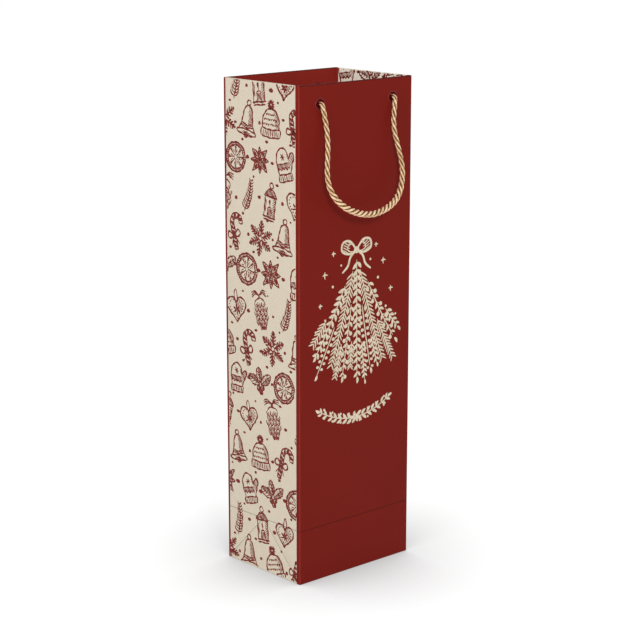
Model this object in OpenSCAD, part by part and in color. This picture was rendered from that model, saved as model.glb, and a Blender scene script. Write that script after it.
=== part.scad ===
// Tall paper gift bag for one wine bottle: a creased and glued printed sheet with a turned-in hem,
// a folded block bottom, a bottom board and two knotted rope handles that swing at their eyelets.
// The origin is the middle of the base, +Z is up and the front panel faces -Y. Millimetres throughout.

/* [Bag] */
// Width of the front and back panels
bag_w = 120; // [112:1:150]
// Depth of the side gussets
bag_d = 90; // [80:1:100]
// Height from the table to the rim
bag_h = 400; // [330:5:460]
// Thickness of the printed sheet
sheet_t = 0.35; // [0.25:0.05:0.45]
// Outer radius of the sheet at a crease
crease_r = 1.2; // [0.9:0.1:1.8]
// Width of a pressed score line
score_w = 0.8; // [0.4:0.1:1.2]
// Depth of a pressed score line
score_deep = 0.1; // [0.05:0.01:0.15]
// Width of the glued side seam
seam_w = 16; // [10:1:22]

/* [Rim] */
// Height of the turned-in hem
hem_h = 40; // [32:1:55]
// Height of the card glued behind the hem
card_h = 34; // [28:1:38]
// Thickness of that card
card_t = 1.2; // [0.6:0.1:1.6]
// Gap between a card's end and the corner crease
card_gap = 1.5; // [0.5:0.1:3]

/* [Bottom] */
// How far the bottom flaps reach past the middle
flap_lap = 12; // [8:1:16]
// Length of the slope on which a flap rises to its layer
flap_slope = 8; // [6:0.5:12]
// Half of the gap left in the middle between two corner folds or two side tucks
fold_gap = 3; // [2:0.5:5]
// Thickness of the bottom board
board_t = 1.2; // [0.8:0.1:2]
// Gap between the board and the walls
board_gap = 0.6; // [0.5:0.1:1.5]

/* [Eyelets] */
// Distance of a hole from the side of its panel
hole_inset = 21.5; // [16:0.5:26]
// Depth of the holes below the rim
hole_drop = 15.5; // [12:0.5:18]
// Radius of an eyelet's bore
bore_r = 3.6; // [2.9:0.1:3.8]
// Wall of an eyelet's barrel
barrel_t = 0.35; // [0.25:0.05:0.5]
// Outer radius of the flange on the outside
flange_r = 5.4; // [4.8:0.1:6]
// Height of the flange on the outside
flange_h = 0.6; // [0.4:0.05:0.8]
// Outer radius of the rolled edge on the inside
curl_r = 5; // [4.5:0.1:5.5]
// Height of the rolled edge on the inside
curl_h = 0.5; // [0.3:0.05:0.7]
// Gap between a barrel and its hole
hole_gap = 0.1; // [0.05:0.01:0.2]

/* [Rope] */
// Diameter of the twisted rope
rope_d = 5; // [4:0.1:5.4]
// Drop of the hanging loop below the holes
loop_drop = 87; // [70:1:110]
// How far the bottom of the loop stands out from its pivots
loop_out = 15; // [10:0.5:20]
// Clearance between the swinging rope and the eyelet
swing_gap = 0.4; // [0.3:0.05:0.6]
// Clearance between a knot and the rolled edge it pulls against
knot_gap = 0.3; // [0.2:0.05:0.5]
// Size of a knot's lobes, from its middle to the rope's centre line
knot_lobe = 7.2; // [6.6:0.1:8]
// Half of a knot's thickness, to the rope's centre line
knot_rise = 2.4; // [2.2:0.1:3]
// Length of the cut tail that leaves a knot
tail_len = 9; // [6:0.5:14]

/* [Hidden] */
$fn = 48;

front_ink = "#7b2822";
side_paper = "#d8ccb8";
bare_paper = "#efebe2";
grey_card = "#a8a196";
eyelet_paint = "#6a201c";
jute = "#cda978";

// Cuts run past the faces they open by this much
over = 1;
half_w = bag_w / 2;
half_d = bag_d / 2;
// Layers of the folded bottom: the back flap and the front flap are two plies each, the tucks one
flap_t = 2 * sheet_t;
front_level = flap_t;
tuck_level = 2 * flap_t;
board_level = tuck_level + sheet_t;
flap_len = half_d + flap_lap;
// The score line runs where the sheet folds when the bag is laid flat
score_z = half_d;
// Sheet, card and turned-in sheet at the front rim
rim_t = 2 * sheet_t + card_t;
rim_r = rim_t / 2;
hole_r = bore_r + barrel_t + hole_gap;
hole_z = bag_h - hole_drop;
hole_x = half_w - hole_inset;
rope_r = rope_d / 2;
// The loop turns about the middle of its rope's domed ends, just outside the flanges
pivot_out = flange_h + swing_gap + rope_r;
// A rope pulled tight in its knot gets thinner
knot_squeeze_share = 0.86;
knot_r = rope_r * knot_squeeze_share;

// The hanging loop from its pivot to its lowest point: across (share of a hole's distance from the middle),
// out (share of loop_out) and down (share of loop_drop)
loop_route_shares = [
    [1, 0, 0], [0.985, 0.005, 0.05], [0.965, 0.02, 0.1], [0.94, 0.05, 0.17], [0.925, 0.1, 0.25],
    [0.935, 0.18, 0.34], [0.97, 0.28, 0.43], [1.01, 0.36, 0.52], [1.035, 0.43, 0.6], [1.03, 0.5, 0.68],
    [0.98, 0.59, 0.76], [0.88, 0.72, 0.835], [0.725, 0.85, 0.9], [0.52, 0.94, 0.95], [0.27, 0.985, 0.985],
    [0, 1, 1]
];
rope_sides = 10;
knot_sides = 8;

function unit(v) = v / norm(v);

// Directions of travel along a list of points, from each point's neighbours
function headings(path) = [
    for (i = [0 : len(path) - 1])
        unit(path[min(i + 1, len(path) - 1)] - path[max(i - 1, 0)])
];

// One side direction for each point, carried along the path so that the tube doesn't twist
function carried(heads, start) = [
    for (i = 0, n = unit(start - (start * heads[0]) * heads[0]);
        i < len(heads);
        i = i + 1,
        n = i < len(heads) ? unit(n - (n * heads[i]) * heads[i]) : n) n
];

// A closed tube round a path, with a radius for each point, a ring for each point and flat ends
module tube(path, radii, sides, start) {
    heads = headings(path);
    side_dirs = carried(heads, start);
    rings = len(path);
    points = [
        for (i = [0 : rings - 1])
            for (k = [0 : sides - 1])
                path[i]
                    + radii[i] * cos(360 * k / sides) * side_dirs[i]
                    + radii[i] * sin(360 * k / sides) * cross(heads[i], side_dirs[i])
    ];
    walls = [
        for (i = [0 : rings - 2])
            for (k = [0 : sides - 1])
                for (half = [0, 1])
                    let (
                        a = i * sides + k,
                        b = i * sides + (k + 1) % sides,
                        c = b + sides,
                        d = a + sides
                    )
                    half == 0 ? [a, c, b] : [a, d, c]
    ];
    first_end = [for (k = [0 : sides - 1]) k];
    last_end = [for (k = [sides - 1 : -1 : 0]) (rings - 1) * sides + k];
    polyhedron(points = points, faces = concat(walls, [first_end, last_end]), convexity = 8);
}

// The front pieces are drawn at -Y, and the back ones are the same turned half round
module at_back() {
    rotate(180) children();
}

// A quarter of a bent sheet in its own plane: inside corner towards +X +Y, outer faces on the axes
module bend_outline(r) {
    intersection() {
        translate([r, r]) difference() {
            circle(r);
            circle(r - sheet_t);
        }
        square(r);
    }
}

// One bottom corner, where two bent edges and the upright crease meet in a ball
module corner_cap() {
    translate([-half_w + crease_r, -half_d + crease_r, crease_r])
        intersection() {
            difference() {
                sphere(crease_r);
                sphere(crease_r - sheet_t);
            }
            translate([-crease_r, -crease_r, -crease_r]) cube(crease_r);
        }
}

// Upright crease at the left end of the front panel, with its ball at the foot
module upright_crease() {
    translate([-half_w, -half_d, crease_r])
        linear_extrude(bag_h - crease_r) bend_outline(crease_r);
    corner_cap();
}

module hole_cuts() {
    for (side = [-1, 1])
        translate([side * hole_x, -half_d - over, hole_z])
            rotate([-90, 0, 0]) cylinder(r = hole_r, h = rim_t + 2 * over);
}

// A panel with a crease at each end, its two holes and the pressed line that it folds flat along
module wide_panel() {
    difference() {
        union() {
            translate([-half_w + crease_r, -half_d, crease_r])
                cube([bag_w - 2 * crease_r, sheet_t, bag_h - crease_r - rim_r]);
            upright_crease();
            mirror([1, 0, 0]) upright_crease();
        }
        hole_cuts();
        translate([-half_w + crease_r, -half_d - over, score_z - score_w / 2])
            cube([bag_w - 2 * crease_r, over + score_deep, score_w]);
    }
}

// A gusset, with the level line and the two slanting lines that meet on it
module gusset() {
    slant = half_d * sqrt(2);
    difference() {
        translate([-half_w, -half_d + crease_r, crease_r])
            cube([sheet_t, bag_d - 2 * crease_r, bag_h - crease_r - sheet_t]);
        translate([-half_w - over, -half_d, score_z - score_w / 2])
            cube([over + score_deep, bag_d, score_w]);
        for (side = [-1, 1])
            translate([-half_w - over, side * half_d, 0])
                rotate([side * 45, 0, 0])
                    translate([0, -score_w / 2, 0])
                        cube([over + score_deep, score_w, slant]);
    }
}

// The glued lap lies inside the back panel, from the bottom flaps up to the card
module side_seam() {
    translate([half_w - crease_r - seam_w, half_d - 2 * sheet_t, board_level])
        cube([seam_w, sheet_t, bag_h - rim_r - card_h - board_level]);
}

// The sheet turned in over the rim: a half round and an inner ply, in the plane across the rim
module hem_outline(r, depth) {
    intersection() {
        translate([r, -r]) difference() {
            circle(r);
            circle(r - sheet_t);
        }
        translate([0, -r]) square([2 * r, r]);
    }
    translate([2 * r - sheet_t, -depth]) square([sheet_t, depth - r]);
}

module wide_hem() {
    difference() {
        translate([half_w - crease_r, -half_d, bag_h])
            rotate([90, 0, -90])
                mirror([1, 0, 0])
                    linear_extrude(bag_w - 2 * crease_r) hem_outline(rim_r, hem_h);
        hole_cuts();
    }
}

// Over a gusset the turned-in ply lies straight on the sheet
module narrow_hem() {
    translate([-half_w, half_d - crease_r, bag_h])
        rotate([90, 0, 0])
            linear_extrude(bag_d - 2 * crease_r)
                union() {
                    intersection() {
                        translate([sheet_t, -sheet_t]) circle(sheet_t);
                        translate([0, -sheet_t]) square([2 * sheet_t, sheet_t]);
                    }
                    translate([sheet_t, -hem_h]) square([sheet_t, hem_h - sheet_t]);
                }
}

module rim_card() {
    difference() {
        translate([-half_w + crease_r + card_gap, -half_d + sheet_t, bag_h - rim_r - card_h])
            cube([bag_w - 2 * (crease_r + card_gap), card_t, card_h]);
        hole_cuts();
    }
}

// A bottom ply in the plane across its crease: it slopes up from the table to its level and lies flat
module ply_outline(level, reach, lift) {
    translate([0, lift])
        polygon([
            [crease_r, 0],
            [crease_r + flap_slope, level],
            [reach, level],
            [reach, level + sheet_t],
            [crease_r + flap_slope, level + sheet_t],
            [crease_r, sheet_t]
        ]);
}

// A ply as a strip along X, with its crease at the front edge of the base
module wide_ply(level, lift) {
    translate([half_w, -half_d, 0])
        rotate([90, 0, -90])
            mirror([1, 0, 0]) linear_extrude(bag_w) ply_outline(level, flap_len, lift);
}

// What the slanting corner folds leave of a flap, seen from above
module flap_plan() {
    translate([0, -half_d])
        intersection() {
            polygon([
                [-half_w + crease_r, 0],
                [half_w - crease_r, 0],
                [half_w - crease_r, crease_r],
                [0, half_w],
                [-half_w + crease_r, crease_r]
            ]);
            translate([-half_w, 0]) square([bag_w, flap_len]);
        }
}

// A flap of two plies: its own, and the gusset's corners folded under it on both sides of the middle
module wide_flap(level) {
    intersection() {
        union() {
            wide_ply(level, 0);
            difference() {
                wide_ply(level, sheet_t);
                translate([-fold_gap, -half_d - over, 0])
                    cube([2 * fold_gap, bag_d, level + 2 * flap_t]);
            }
            translate([half_w - crease_r, -half_d, 0])
                rotate([90, 0, -90])
                    mirror([1, 0, 0])
                        linear_extrude(bag_w - 2 * crease_r) bend_outline(crease_r);
        }
        translate([0, 0, -over]) linear_extrude(level + 2 * flap_t + 2 * over) flap_plan();
    }
}

// Seen from above, a tuck narrows along the corner folds while it slopes up, and then lies over them
module tuck_plan() {
    foot = half_d - crease_r;
    neck = foot - flap_slope;
    wide = half_d - sheet_t - board_gap;
    reach = half_w - fold_gap;
    polygon([
        [-half_w, -foot],
        [-half_w + crease_r, -foot],
        [-half_w + crease_r + flap_slope, -neck],
        [-half_w + crease_r + flap_slope, -wide],
        [-half_w + reach, -wide],
        [-half_w + reach, wide],
        [-half_w + crease_r + flap_slope, wide],
        [-half_w + crease_r + flap_slope, neck],
        [-half_w + crease_r, foot],
        [-half_w, foot]
    ]);
}

module tuck() {
    intersection() {
        translate([-half_w, half_d, 0])
            rotate([90, 0, 0])
                linear_extrude(bag_d)
                    union() {
                        ply_outline(tuck_level, half_w - fold_gap, 0);
                        bend_outline(crease_r);
                    }
        translate([0, 0, -over]) linear_extrude(board_level + 2 * over) tuck_plan();
    }
}

// A rounded ring in section, standing on the X axis from r_in to r_out
module lip_outline(r_in, r_out, height) {
    half = (r_out - r_in) / 2;
    arc = (half * half + height * height) / (2 * height);
    intersection() {
        translate([(r_in + r_out) / 2, height - arc]) circle(arc);
        translate([r_in, 0]) square([r_out - r_in, height]);
    }
}

// Eyelet round +Z, with the panel's outer face at zero: domed flange, barrel and rolled edge
module eyelet() {
    rotate_extrude()
        union() {
            lip_outline(bore_r, flange_r, flange_h);
            translate([bore_r, -rim_t]) square([barrel_t, rim_t]);
            translate([0, -rim_t]) mirror([0, 1]) lip_outline(bore_r, curl_r, curl_h);
        }
}

module front_eyelet(side) {
    translate([side * hole_x, -half_d, hole_z]) rotate([90, 0, 0]) eyelet();
}

// Overhand knot. Its middle stretch is a three-lobed curve round the Y axis, sin t + 2 sin 2t across and
// cos t - 2 cos 2t down, that weaves in and out as sin 3t. It starts and ends at the top lobe
function lobed(t) = [
    knot_lobe / 3 * (sin(t) + 2 * sin(2 * t)),
    knot_rise * sin(3 * t),
    -knot_lobe / 3 * (cos(t) - 2 * cos(2 * t))
];

// Even cubic B-spline through the neighbourhood of four control points, at u from 0 to 1
function spline(a, b, c, d, u) =
    (pow(1 - u, 3) * a
        + (3 * pow(u, 3) - 6 * u * u + 4) * b
        + (-3 * pow(u, 3) + 3 * u * u + 3 * u + 1) * c
        + pow(u, 3) * d) / 6;

knot_lead = rim_t + curl_h + knot_gap + knot_r;
knot_turns = 14;
// The top lobe is left open by this much on each side of its crown
knot_open = 22;
// The rope passes the eyelet on the line of the pivots, and the lobes hang below it. Both straight
// ends have one more control point than they need, so that the curve reaches their full length
knot_stub = knot_lead + flange_h;
knot_controls = concat(
    [for (s = [3 : -1 : 0]) [0, -knot_rise - s * knot_stub / 2, knot_lobe]],
    [
        for (i = [0 : knot_turns])
            lobed(180 + knot_open + (360 - 2 * knot_open) * i / knot_turns)
    ],
    [for (s = [0 : 3]) [0, knot_rise + s * tail_len / 2, knot_lobe]]
);
knot_spans = len(knot_controls) - 3;
knot_path = [
    for (step = [0 : 2 * knot_spans])
        let (i = min(floor(step / 2), knot_spans - 1), u = step / 2 - i)
        spline(knot_controls[i], knot_controls[i + 1], knot_controls[i + 2], knot_controls[i + 3], u)
];

// The straight ends have the rope's full radius and thin to the knot's over one rope radius
function pressed_r(p) =
    let (free_share = max(0, min(1, (abs(p[1]) - knot_rise) / rope_r)))
    knot_r + free_share * (rope_r - knot_r);

// The spans of the knot cross each other and press together there, so each is a tube of its own
module knot_span(from, to) {
    path = [for (i = [from : to]) knot_path[i]];
    tube(path, [for (p = path) pressed_r(p)], knot_sides, [0.3, 0.2, 1]);
}

module knot() {
    third = floor(len(knot_path) / 3);
    translate([0, knot_lead + knot_rise, -knot_lobe])
        union() {
            knot_span(0, third);
            knot_span(third, 2 * third);
            knot_span(2 * third, len(knot_path) - 1);
        }
}

module front_knot(side) {
    translate([side * hole_x, -half_d, hole_z]) knot();
}

// A hanging loop: domed ends on the pivots, and the hand-set route between them, the same on both sides
module hanging_loop() {
    half_route = [
        for (p = loop_route_shares)
            [p[0] * hole_x, -half_d - pivot_out - p[1] * loop_out, hole_z - p[2] * loop_drop]
    ];
    dome_steps = [80, 60, 35];
    dome = [for (a = dome_steps) half_route[0] + [0, 0, rope_r * sin(a)]];
    one_side = concat(dome, half_route);
    radii = concat([for (a = dome_steps) rope_r * cos(a)], [for (p = half_route) rope_r]);
    count = len(one_side);
    path = concat(
        one_side,
        [for (i = [count - 2 : -1 : 0]) [-one_side[i][0], one_side[i][1], one_side[i][2]]]
    );
    all_radii = concat(radii, [for (i = [count - 2 : -1 : 0]) radii[i]]);
    tube(path, all_radii, rope_sides, [0, 1, 0]);
}

module front_panel() { color(front_ink) wide_panel(); }
module back_panel() { color(front_ink) at_back() wide_panel(); }
module left_gusset() { color(side_paper) gusset(); }
module right_gusset() { color(side_paper) at_back() gusset(); }
module side_seam_flap() { color(bare_paper) side_seam(); }
module front_hem() { color(front_ink) wide_hem(); }
module back_hem() { color(front_ink) at_back() wide_hem(); }
module left_hem() { color(side_paper) narrow_hem(); }
module right_hem() { color(side_paper) at_back() narrow_hem(); }
module front_card() { color(grey_card) rim_card(); }
module back_card() { color(grey_card) at_back() rim_card(); }
module bottom_front_flap() { color(front_ink) wide_flap(front_level); }
module bottom_back_flap() { color(front_ink) at_back() wide_flap(0); }
module bottom_left_tuck() { color(side_paper) tuck(); }
module bottom_right_tuck() { color(side_paper) at_back() tuck(); }

module bottom_board() {
    board_w = bag_w - 2 * (sheet_t + board_gap);
    board_d = bag_d - 2 * (sheet_t + board_gap);
    color(grey_card)
        translate([-board_w / 2, -board_d / 2, board_level]) cube([board_w, board_d, board_t]);
}

module front_left_eyelet() { color(eyelet_paint) front_eyelet(-1); }
module front_right_eyelet() { color(eyelet_paint) front_eyelet(1); }
module back_left_eyelet() { color(eyelet_paint) at_back() front_eyelet(1); }
module back_right_eyelet() { color(eyelet_paint) at_back() front_eyelet(-1); }
module front_left_knot() { color(jute) front_knot(-1); }
module front_right_knot() { color(jute) front_knot(1); }
module back_left_knot() { color(jute) at_back() front_knot(1); }
module back_right_knot() { color(jute) at_back() front_knot(-1); }
module front_handle_rope() { color(jute) hanging_loop(); }
module back_handle_rope() { color(jute) at_back() hanging_loop(); }

front_panel();
back_panel();
left_gusset();
right_gusset();
side_seam_flap();
front_hem();
back_hem();
left_hem();
right_hem();
front_card();
back_card();
bottom_front_flap();
bottom_back_flap();
bottom_left_tuck();
bottom_right_tuck();
bottom_board();
front_left_eyelet();
front_right_eyelet();
back_left_eyelet();
back_right_eyelet();
front_left_knot();
front_right_knot();
back_left_knot();
back_right_knot();
front_handle_rope();
back_handle_rope();
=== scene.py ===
"""Looks of the tall paper bottle bag: its printed sheet, folds, eyelets, laid ropes and knots.

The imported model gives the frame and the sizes. Everything is in metres, with the origin in the middle of the
base, +Z up and the front panel facing -Y. Prints are drawn in millimetres on the flat panel and then laid on it.
"""

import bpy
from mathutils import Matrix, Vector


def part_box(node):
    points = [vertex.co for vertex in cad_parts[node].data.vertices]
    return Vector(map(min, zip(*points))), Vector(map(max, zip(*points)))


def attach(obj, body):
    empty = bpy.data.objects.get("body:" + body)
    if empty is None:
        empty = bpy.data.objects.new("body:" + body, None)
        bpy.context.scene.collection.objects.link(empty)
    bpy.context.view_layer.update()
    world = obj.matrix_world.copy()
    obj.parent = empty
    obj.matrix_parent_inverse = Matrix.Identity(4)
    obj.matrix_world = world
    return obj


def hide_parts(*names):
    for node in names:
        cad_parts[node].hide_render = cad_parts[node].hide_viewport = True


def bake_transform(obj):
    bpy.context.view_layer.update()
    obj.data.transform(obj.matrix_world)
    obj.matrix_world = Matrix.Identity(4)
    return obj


bl_info = {
    "name": "Paper bottle bag",
    "version": (1, 0, 0),
    "blender": (4, 5, 0),
    "location": "3D View > Sidebar > Bottle bag",
    "description": "Dresses a packed paper bottle bag with its sheet, prints, ropes and studio",
    "category": "Object",
}

from functools import partial

import bpy
import numpy as np
from bpy.props import FloatProperty, FloatVectorProperty, IntProperty, PointerProperty
from mathutils import Matrix, Vector

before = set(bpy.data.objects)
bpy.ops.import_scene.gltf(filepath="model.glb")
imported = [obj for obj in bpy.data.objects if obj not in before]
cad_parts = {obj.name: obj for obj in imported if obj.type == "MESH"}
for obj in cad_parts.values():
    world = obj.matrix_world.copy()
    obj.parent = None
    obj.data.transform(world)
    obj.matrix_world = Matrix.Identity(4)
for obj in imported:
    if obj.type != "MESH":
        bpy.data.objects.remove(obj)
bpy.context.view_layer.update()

MM = 0.001
panel_low, panel_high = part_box("front_panel")
hem_low, hem_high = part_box("front_hem")
eyelet_low, eyelet_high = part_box("front_right_eyelet")

HALF_W, HALF_D, BAG_H = panel_high.x, -panel_low.y, hem_high.z
HEM_H = hem_high.z - hem_low.z
# Outer face of the panel to inner face of the hem, past the card between them
RIM_T = hem_high.y - hem_low.y
# How far the card behind the hem reaches down from the rim's fold
CARD_H = 34.2 * MM
HOLE_X, HOLE_Z = (eyelet_low.x + eyelet_high.x) / 2, (eyelet_low.z + eyelet_high.z) / 2
FLANGE_R = (eyelet_high.x - eyelet_low.x) / 2
FLANGE_H = -HALF_D - eyelet_low.y
CURL_H = eyelet_high.y - (RIM_T - HALF_D)
# Radii of an eyelet's bore at the mouth and at the throat, and of its barrel outside
BORE_R, THROAT_R, BARREL_R = 3.6 * MM, 2.2 * MM, 3.95 * MM
# The sheet folds flat along a line as high as half of the bag's depth
SCORE_Z = HALF_D
BOTH = (-1, 1)
PLACES = ("front", "back")
# Each hole's side, whether it is at the back, and its name
HOLES = [(side, back, f"{place}_{side_name}") for side, side_name in zip(BOTH, ("left", "right"))
         for back, place in enumerate(PLACES)]


def linear(hex_colour):
    """sRGB hex to linear: c / 12.92 up to 0.04045, and ((c + 0.055) / 1.055) to the power of 2.4 above it."""
    c = np.array([int(hex_colour[i : i + 2], 16) for i in (1, 3, 5)]) / 255
    return [float(v) for v in np.where(c <= 0.04045, c / 12.92, ((c + 0.055) / 1.055) ** 2.4)]


def length_of(name, description, default, low, high):
    """A length given in millimetres and kept in metres."""
    return FloatProperty(name=name, description=description, default=default * MM, min=low * MM, max=high * MM,
                         precision=5, unit="LENGTH")


def colour_of(name, description, hex_colour):
    """A colour given as sRGB hex and kept linear."""
    return FloatVectorProperty(name=name, description=description, default=linear(hex_colour), min=0, max=1,
                               subtype="COLOR")


class SheetSettings(bpy.types.PropertyGroup):
    sheet_t: length_of("Sheet", "Thickness of the printed sheet", 0.35, 0.2, 0.5)
    crease_r: length_of("Crease", "Outer radius of the sheet at a crease", 0.8, 0.8, 2)
    score_w: length_of("Score width", "Width of a pressed score line", 1, 0.4, 1.4)
    score_deep: length_of("Score depth", "Depth of a pressed score line", 0.1, 0.02, 0.2)
    wave: length_of("Wave", "Most that a panel bows out or in between its creases", 0.22, 0, 0.6)
    front_wrap: length_of("Front wrap", "Red carried round the front creases onto the gussets", 4, 0, 8)
    back_wrap: length_of("Back wrap", "Red carried round the back creases onto the gussets", 2.6, 0, 8)
    flap_slope: length_of("Flap slope", "Length on which a bottom flap rises to its layer", 8, 4, 12)
    flap_lap: length_of("Flap lap", "How far a bottom flap reaches past the middle", 12, 6, 16)
    fold_gap: length_of("Fold gap", "Half of the gap between two corner folds", 3, 1, 6)
    seam_w: length_of("Seam", "Width of the glued lap inside the back panel", 16, 8, 24)
    red: colour_of("Red print", "Ink of the wide panels under its matt film", "#781c14")
    # Painted light: the turned-in ply's red is lighter, to make up for the shade in the mouth
    red_turned_in_painted_light: colour_of("Red inside", "Ink of the ply turned in at the rim", "#932a22")
    # Cracked ink on a crease, together with a painted highlight where the rounded crease catches the light
    red_crease_wear_and_highlight: colour_of("Red worn", "Cracked ink on a crease", "#b2493d")
    # Painted shade down in a pressed line and along the fold over the rim
    red_pressed_shade: colour_of("Red pressed", "Ink down in a pressed line", "#3c0f0c")
    cream: colour_of("Cream stock", "Printed ground of the gussets", "#d8ccb8")
    # Painted light: the gusset's turned-in ply is paler, to make up for the shade in the mouth
    cream_turned_in_painted_light: colour_of("Cream inside", "Gusset's ply turned in at the rim", "#fbf2e1")
    # Stretched stock on a crease, together with a painted highlight where the crease catches the light
    cream_crease_stretch_and_highlight: colour_of("Cream worn", "Stretched stock on a crease", "#ece4d4")
    # Painted shade down in a pressed line
    cream_pressed_shade: colour_of("Cream pressed", "Stock down in a pressed line", "#787267")
    bare: colour_of("Bare paper", "Unprinted inside of the sheet", "#efebe2")
    board: colour_of("Grey board", "Card behind the hem and board at the bottom", "#a8a196")
    speck: colour_of("Board specks", "Dark fibres in the grey board", "#5d584f")


class PrintSettings(bpy.types.PropertyGroup):
    pen: length_of("Pen", "Width of a drawn line on the gussets", 1.2, 0.3, 1.5)
    row_pitch: length_of("Row pitch", "Height of a row of motifs", 30, 20, 45)
    column_pitch: length_of("Column pitch", "Width of a column of motifs", 29.5, 20, 45)
    ink_lift: length_of("Ink lift", "Height of the ink over the sheet", 0.03, 0.005, 0.1)
    seed: IntProperty(name="Seed", description="Start of the small turns of the motifs", default=4, min=0)
    line_ink: colour_of("Line ink", "Dark red lines on the gussets", "#66100a")
    line_spread: colour_of("Line ink, thin", "The same where the ink is thin", "#7f2e1e")
    spray_ink: colour_of("Spray ink", "Cream print on the red panels", "#e6dac2")
    spray_spread: colour_of("Spray ink, thin", "The same where the ink is thin", "#d3c3a6")


class RopeSettings(bpy.types.PropertyGroup):
    diameter: length_of("Diameter", "Diameter of the twisted rope", 5, 3, 6)
    lay_leg: length_of("Lay on the legs", "Length of a full turn of a strand where it hangs", 20, 8, 30)
    lay_bend: length_of("Lay in the bend", "Length of a full turn of a strand at the bottom", 14, 8, 30)
    leg_d: length_of("On the legs", "Diameter where the rope hangs stretched", 3.8, 3, 6)
    bend_d: length_of("In the bend", "Diameter where the rope swells at the bottom", 5, 3, 6)
    ring_step: length_of("Ring step", "Distance between the rings of a strand's mesh", 0.6, 0.3, 2)
    tail: length_of("Tail", "Length of the cut end that leaves a knot", 9, 4, 14)
    # Painted highlight: the jute on top of a strand
    crown: colour_of("Crown", "Jute where a strand stands out", "#ffe5c0")
    flank: colour_of("Flank", "Jute on the side of a strand", "#c59664")
    # Painted shade: the jute deep between two strands
    groove: colour_of("Groove", "Jute deep between two strands", "#3a2011")
    # Painted shade: the jute in an eyelet's bore, where light doesn't reach
    deep: colour_of("In the bore", "Jute in the red shade of an eyelet", "#6a0e08")
    enamel: colour_of("Eyelet enamel", "Lacquer on the steel eyelets", "#761a19")
    # Painted shade: the lacquer down in the bore
    enamel_bore_shade: colour_of("Enamel in the bore", "The lacquer where no light reaches it", "#660a0c")


class StudioSettings(bpy.types.PropertyGroup):
    azimuth: FloatProperty(name="Azimuth", description="Turn of the camera from the front",
                           default=np.radians(-41.983), subtype="ANGLE")
    elevation: FloatProperty(name="Elevation", description="Height angle of the camera",
                             default=np.radians(13.303), subtype="ANGLE")
    distance: length_of("Distance", "From the camera to the point that it looks at", 1500, 300, 6000)
    lens: FloatProperty(name="Lens", description="Focal length on a 36 mm sensor", default=104.484, min=10)
    ambient: FloatProperty(name="Ambient", description="Strength of the surroundings", default=0.5, min=0, max=2)
    key: FloatProperty(name="Key", description="Power of the soft lamp in front", default=16, min=0, unit="POWER")
    fill: FloatProperty(name="Fill", description="Power of the broad lamp at the left", default=12.5, min=0,
                        unit="POWER")
    floor_light: FloatProperty(name="Floor light", description="Share of the real light in the floor that is seen",
                               default=0.3, min=0, max=0.88)
    shade_reach: length_of("Shade reach", "How far the soft shade reaches from the foot of the bag", 150, 20, 400)


def grid_faces(rows, columns, close_rows=False, close_columns=False):
    """Quads between neighbouring points of a grid that is numbered row by row, closed round where asked."""
    i = np.arange(rows if close_rows else rows - 1)[:, None]
    j = np.arange(columns if close_columns else columns - 1)[None, :]
    up, on = (i + 1) % rows, (j + 1) % columns
    return np.stack([i * columns + j, i * columns + on, up * columns + on, up * columns + j], -1).reshape(-1, 4)


def tube_faces(rings, sides):
    """Walls of a tube of rings, and its two flat ends."""
    first = np.arange(sides)[::-1]
    return [*grid_faces(rings, sides, close_columns=True).tolist(), first.tolist(),
            (rings * sides - 1 - first).tolist()]


def joined(parts):
    """Points and faces of several meshes as one list of each, with the numbers of the faces moved on."""
    points, faces, start = [], [], 0
    for part_points, part_faces in parts:
        flat = np.asarray(part_points).reshape(-1, 3)
        points.append(flat)
        faces += [[start + v for v in face] for face in part_faces]
        start += len(flat)
    return np.concatenate(points), faces


def volume(points, faces):
    """Sum over triangles a, b, c of a . (b x c) / 6, with each face cut into a fan from its first corner."""
    fans = np.array([(f[0], f[k], f[k + 1]) for f in faces for k in range(1, len(f) - 1)])
    a, b, c = (points[fans[:, k]] for k in range(3))
    return float(np.einsum("ij,ij->", a, np.cross(b, c)) / 6)


def new_piece(name, points, faces, materials, body="root", slot=None, sharp=40, attributes=None, face_slots=None):
    """A mesh object from points and faces, turned so that its faces point out, with point attributes by name and
    a material number for each face. It rides on body unless that is None."""
    points = np.asarray(points).reshape(-1, 3)
    if volume(points, faces) < 0:
        faces = [face[::-1] for face in faces]
    mesh = bpy.data.meshes.new(name)
    mesh.from_pydata(points.tolist(), [], faces)
    for material in materials:
        mesh.materials.append(material)
    if face_slots is not None:
        mesh.polygons.foreach_set("material_index", np.asarray(face_slots, np.int32))
    for key, values in (attributes or {}).items():
        mesh.attributes.new(key, "FLOAT", "POINT").data.foreach_set("value", np.ravel(values).astype(np.float32))
    mesh.shade_smooth()
    mesh.set_sharp_from_angle(angle=np.radians(sharp))
    mesh.update()
    piece = bpy.data.objects.new(name, mesh)
    bpy.context.scene.collection.objects.link(piece)
    if body:
        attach(piece, body)
    return piece


def turned(points, back):
    """Points of a front or left piece, carried to the other side by half a turn about Z where back is set."""
    return np.asarray(points) * ([-1, -1, 1] if back else [1, 1, 1])


def whole_turn(count):
    """Angles evenly round a circle."""
    return np.linspace(0, 2 * np.pi, count, endpoint=False)


def smooth_step(x):
    """3 x^2 - 2 x^3, held at 0 and 1."""
    x = np.clip(x, 0, 1)
    return x * x * (3 - 2 * x)


def evenly(points, step):
    """The same line with its points an equal distance apart, at most step."""
    reach = np.r_[0, np.cumsum(np.linalg.norm(np.diff(points, axis=0), axis=1))]
    places = np.linspace(0, reach[-1], max(3, int(np.ceil(reach[-1] / step)) + 1))
    return np.stack([np.interp(places, reach, column) for column in points.T], axis=1)


def spans(p):
    """Each four points in a row of a line, and the places u on the span between the middle two."""
    return p[:-3, None], p[1:-2, None], p[2:-1, None], p[3:, None], np.linspace(0, 1, 17)[None, :-1, None]


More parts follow.
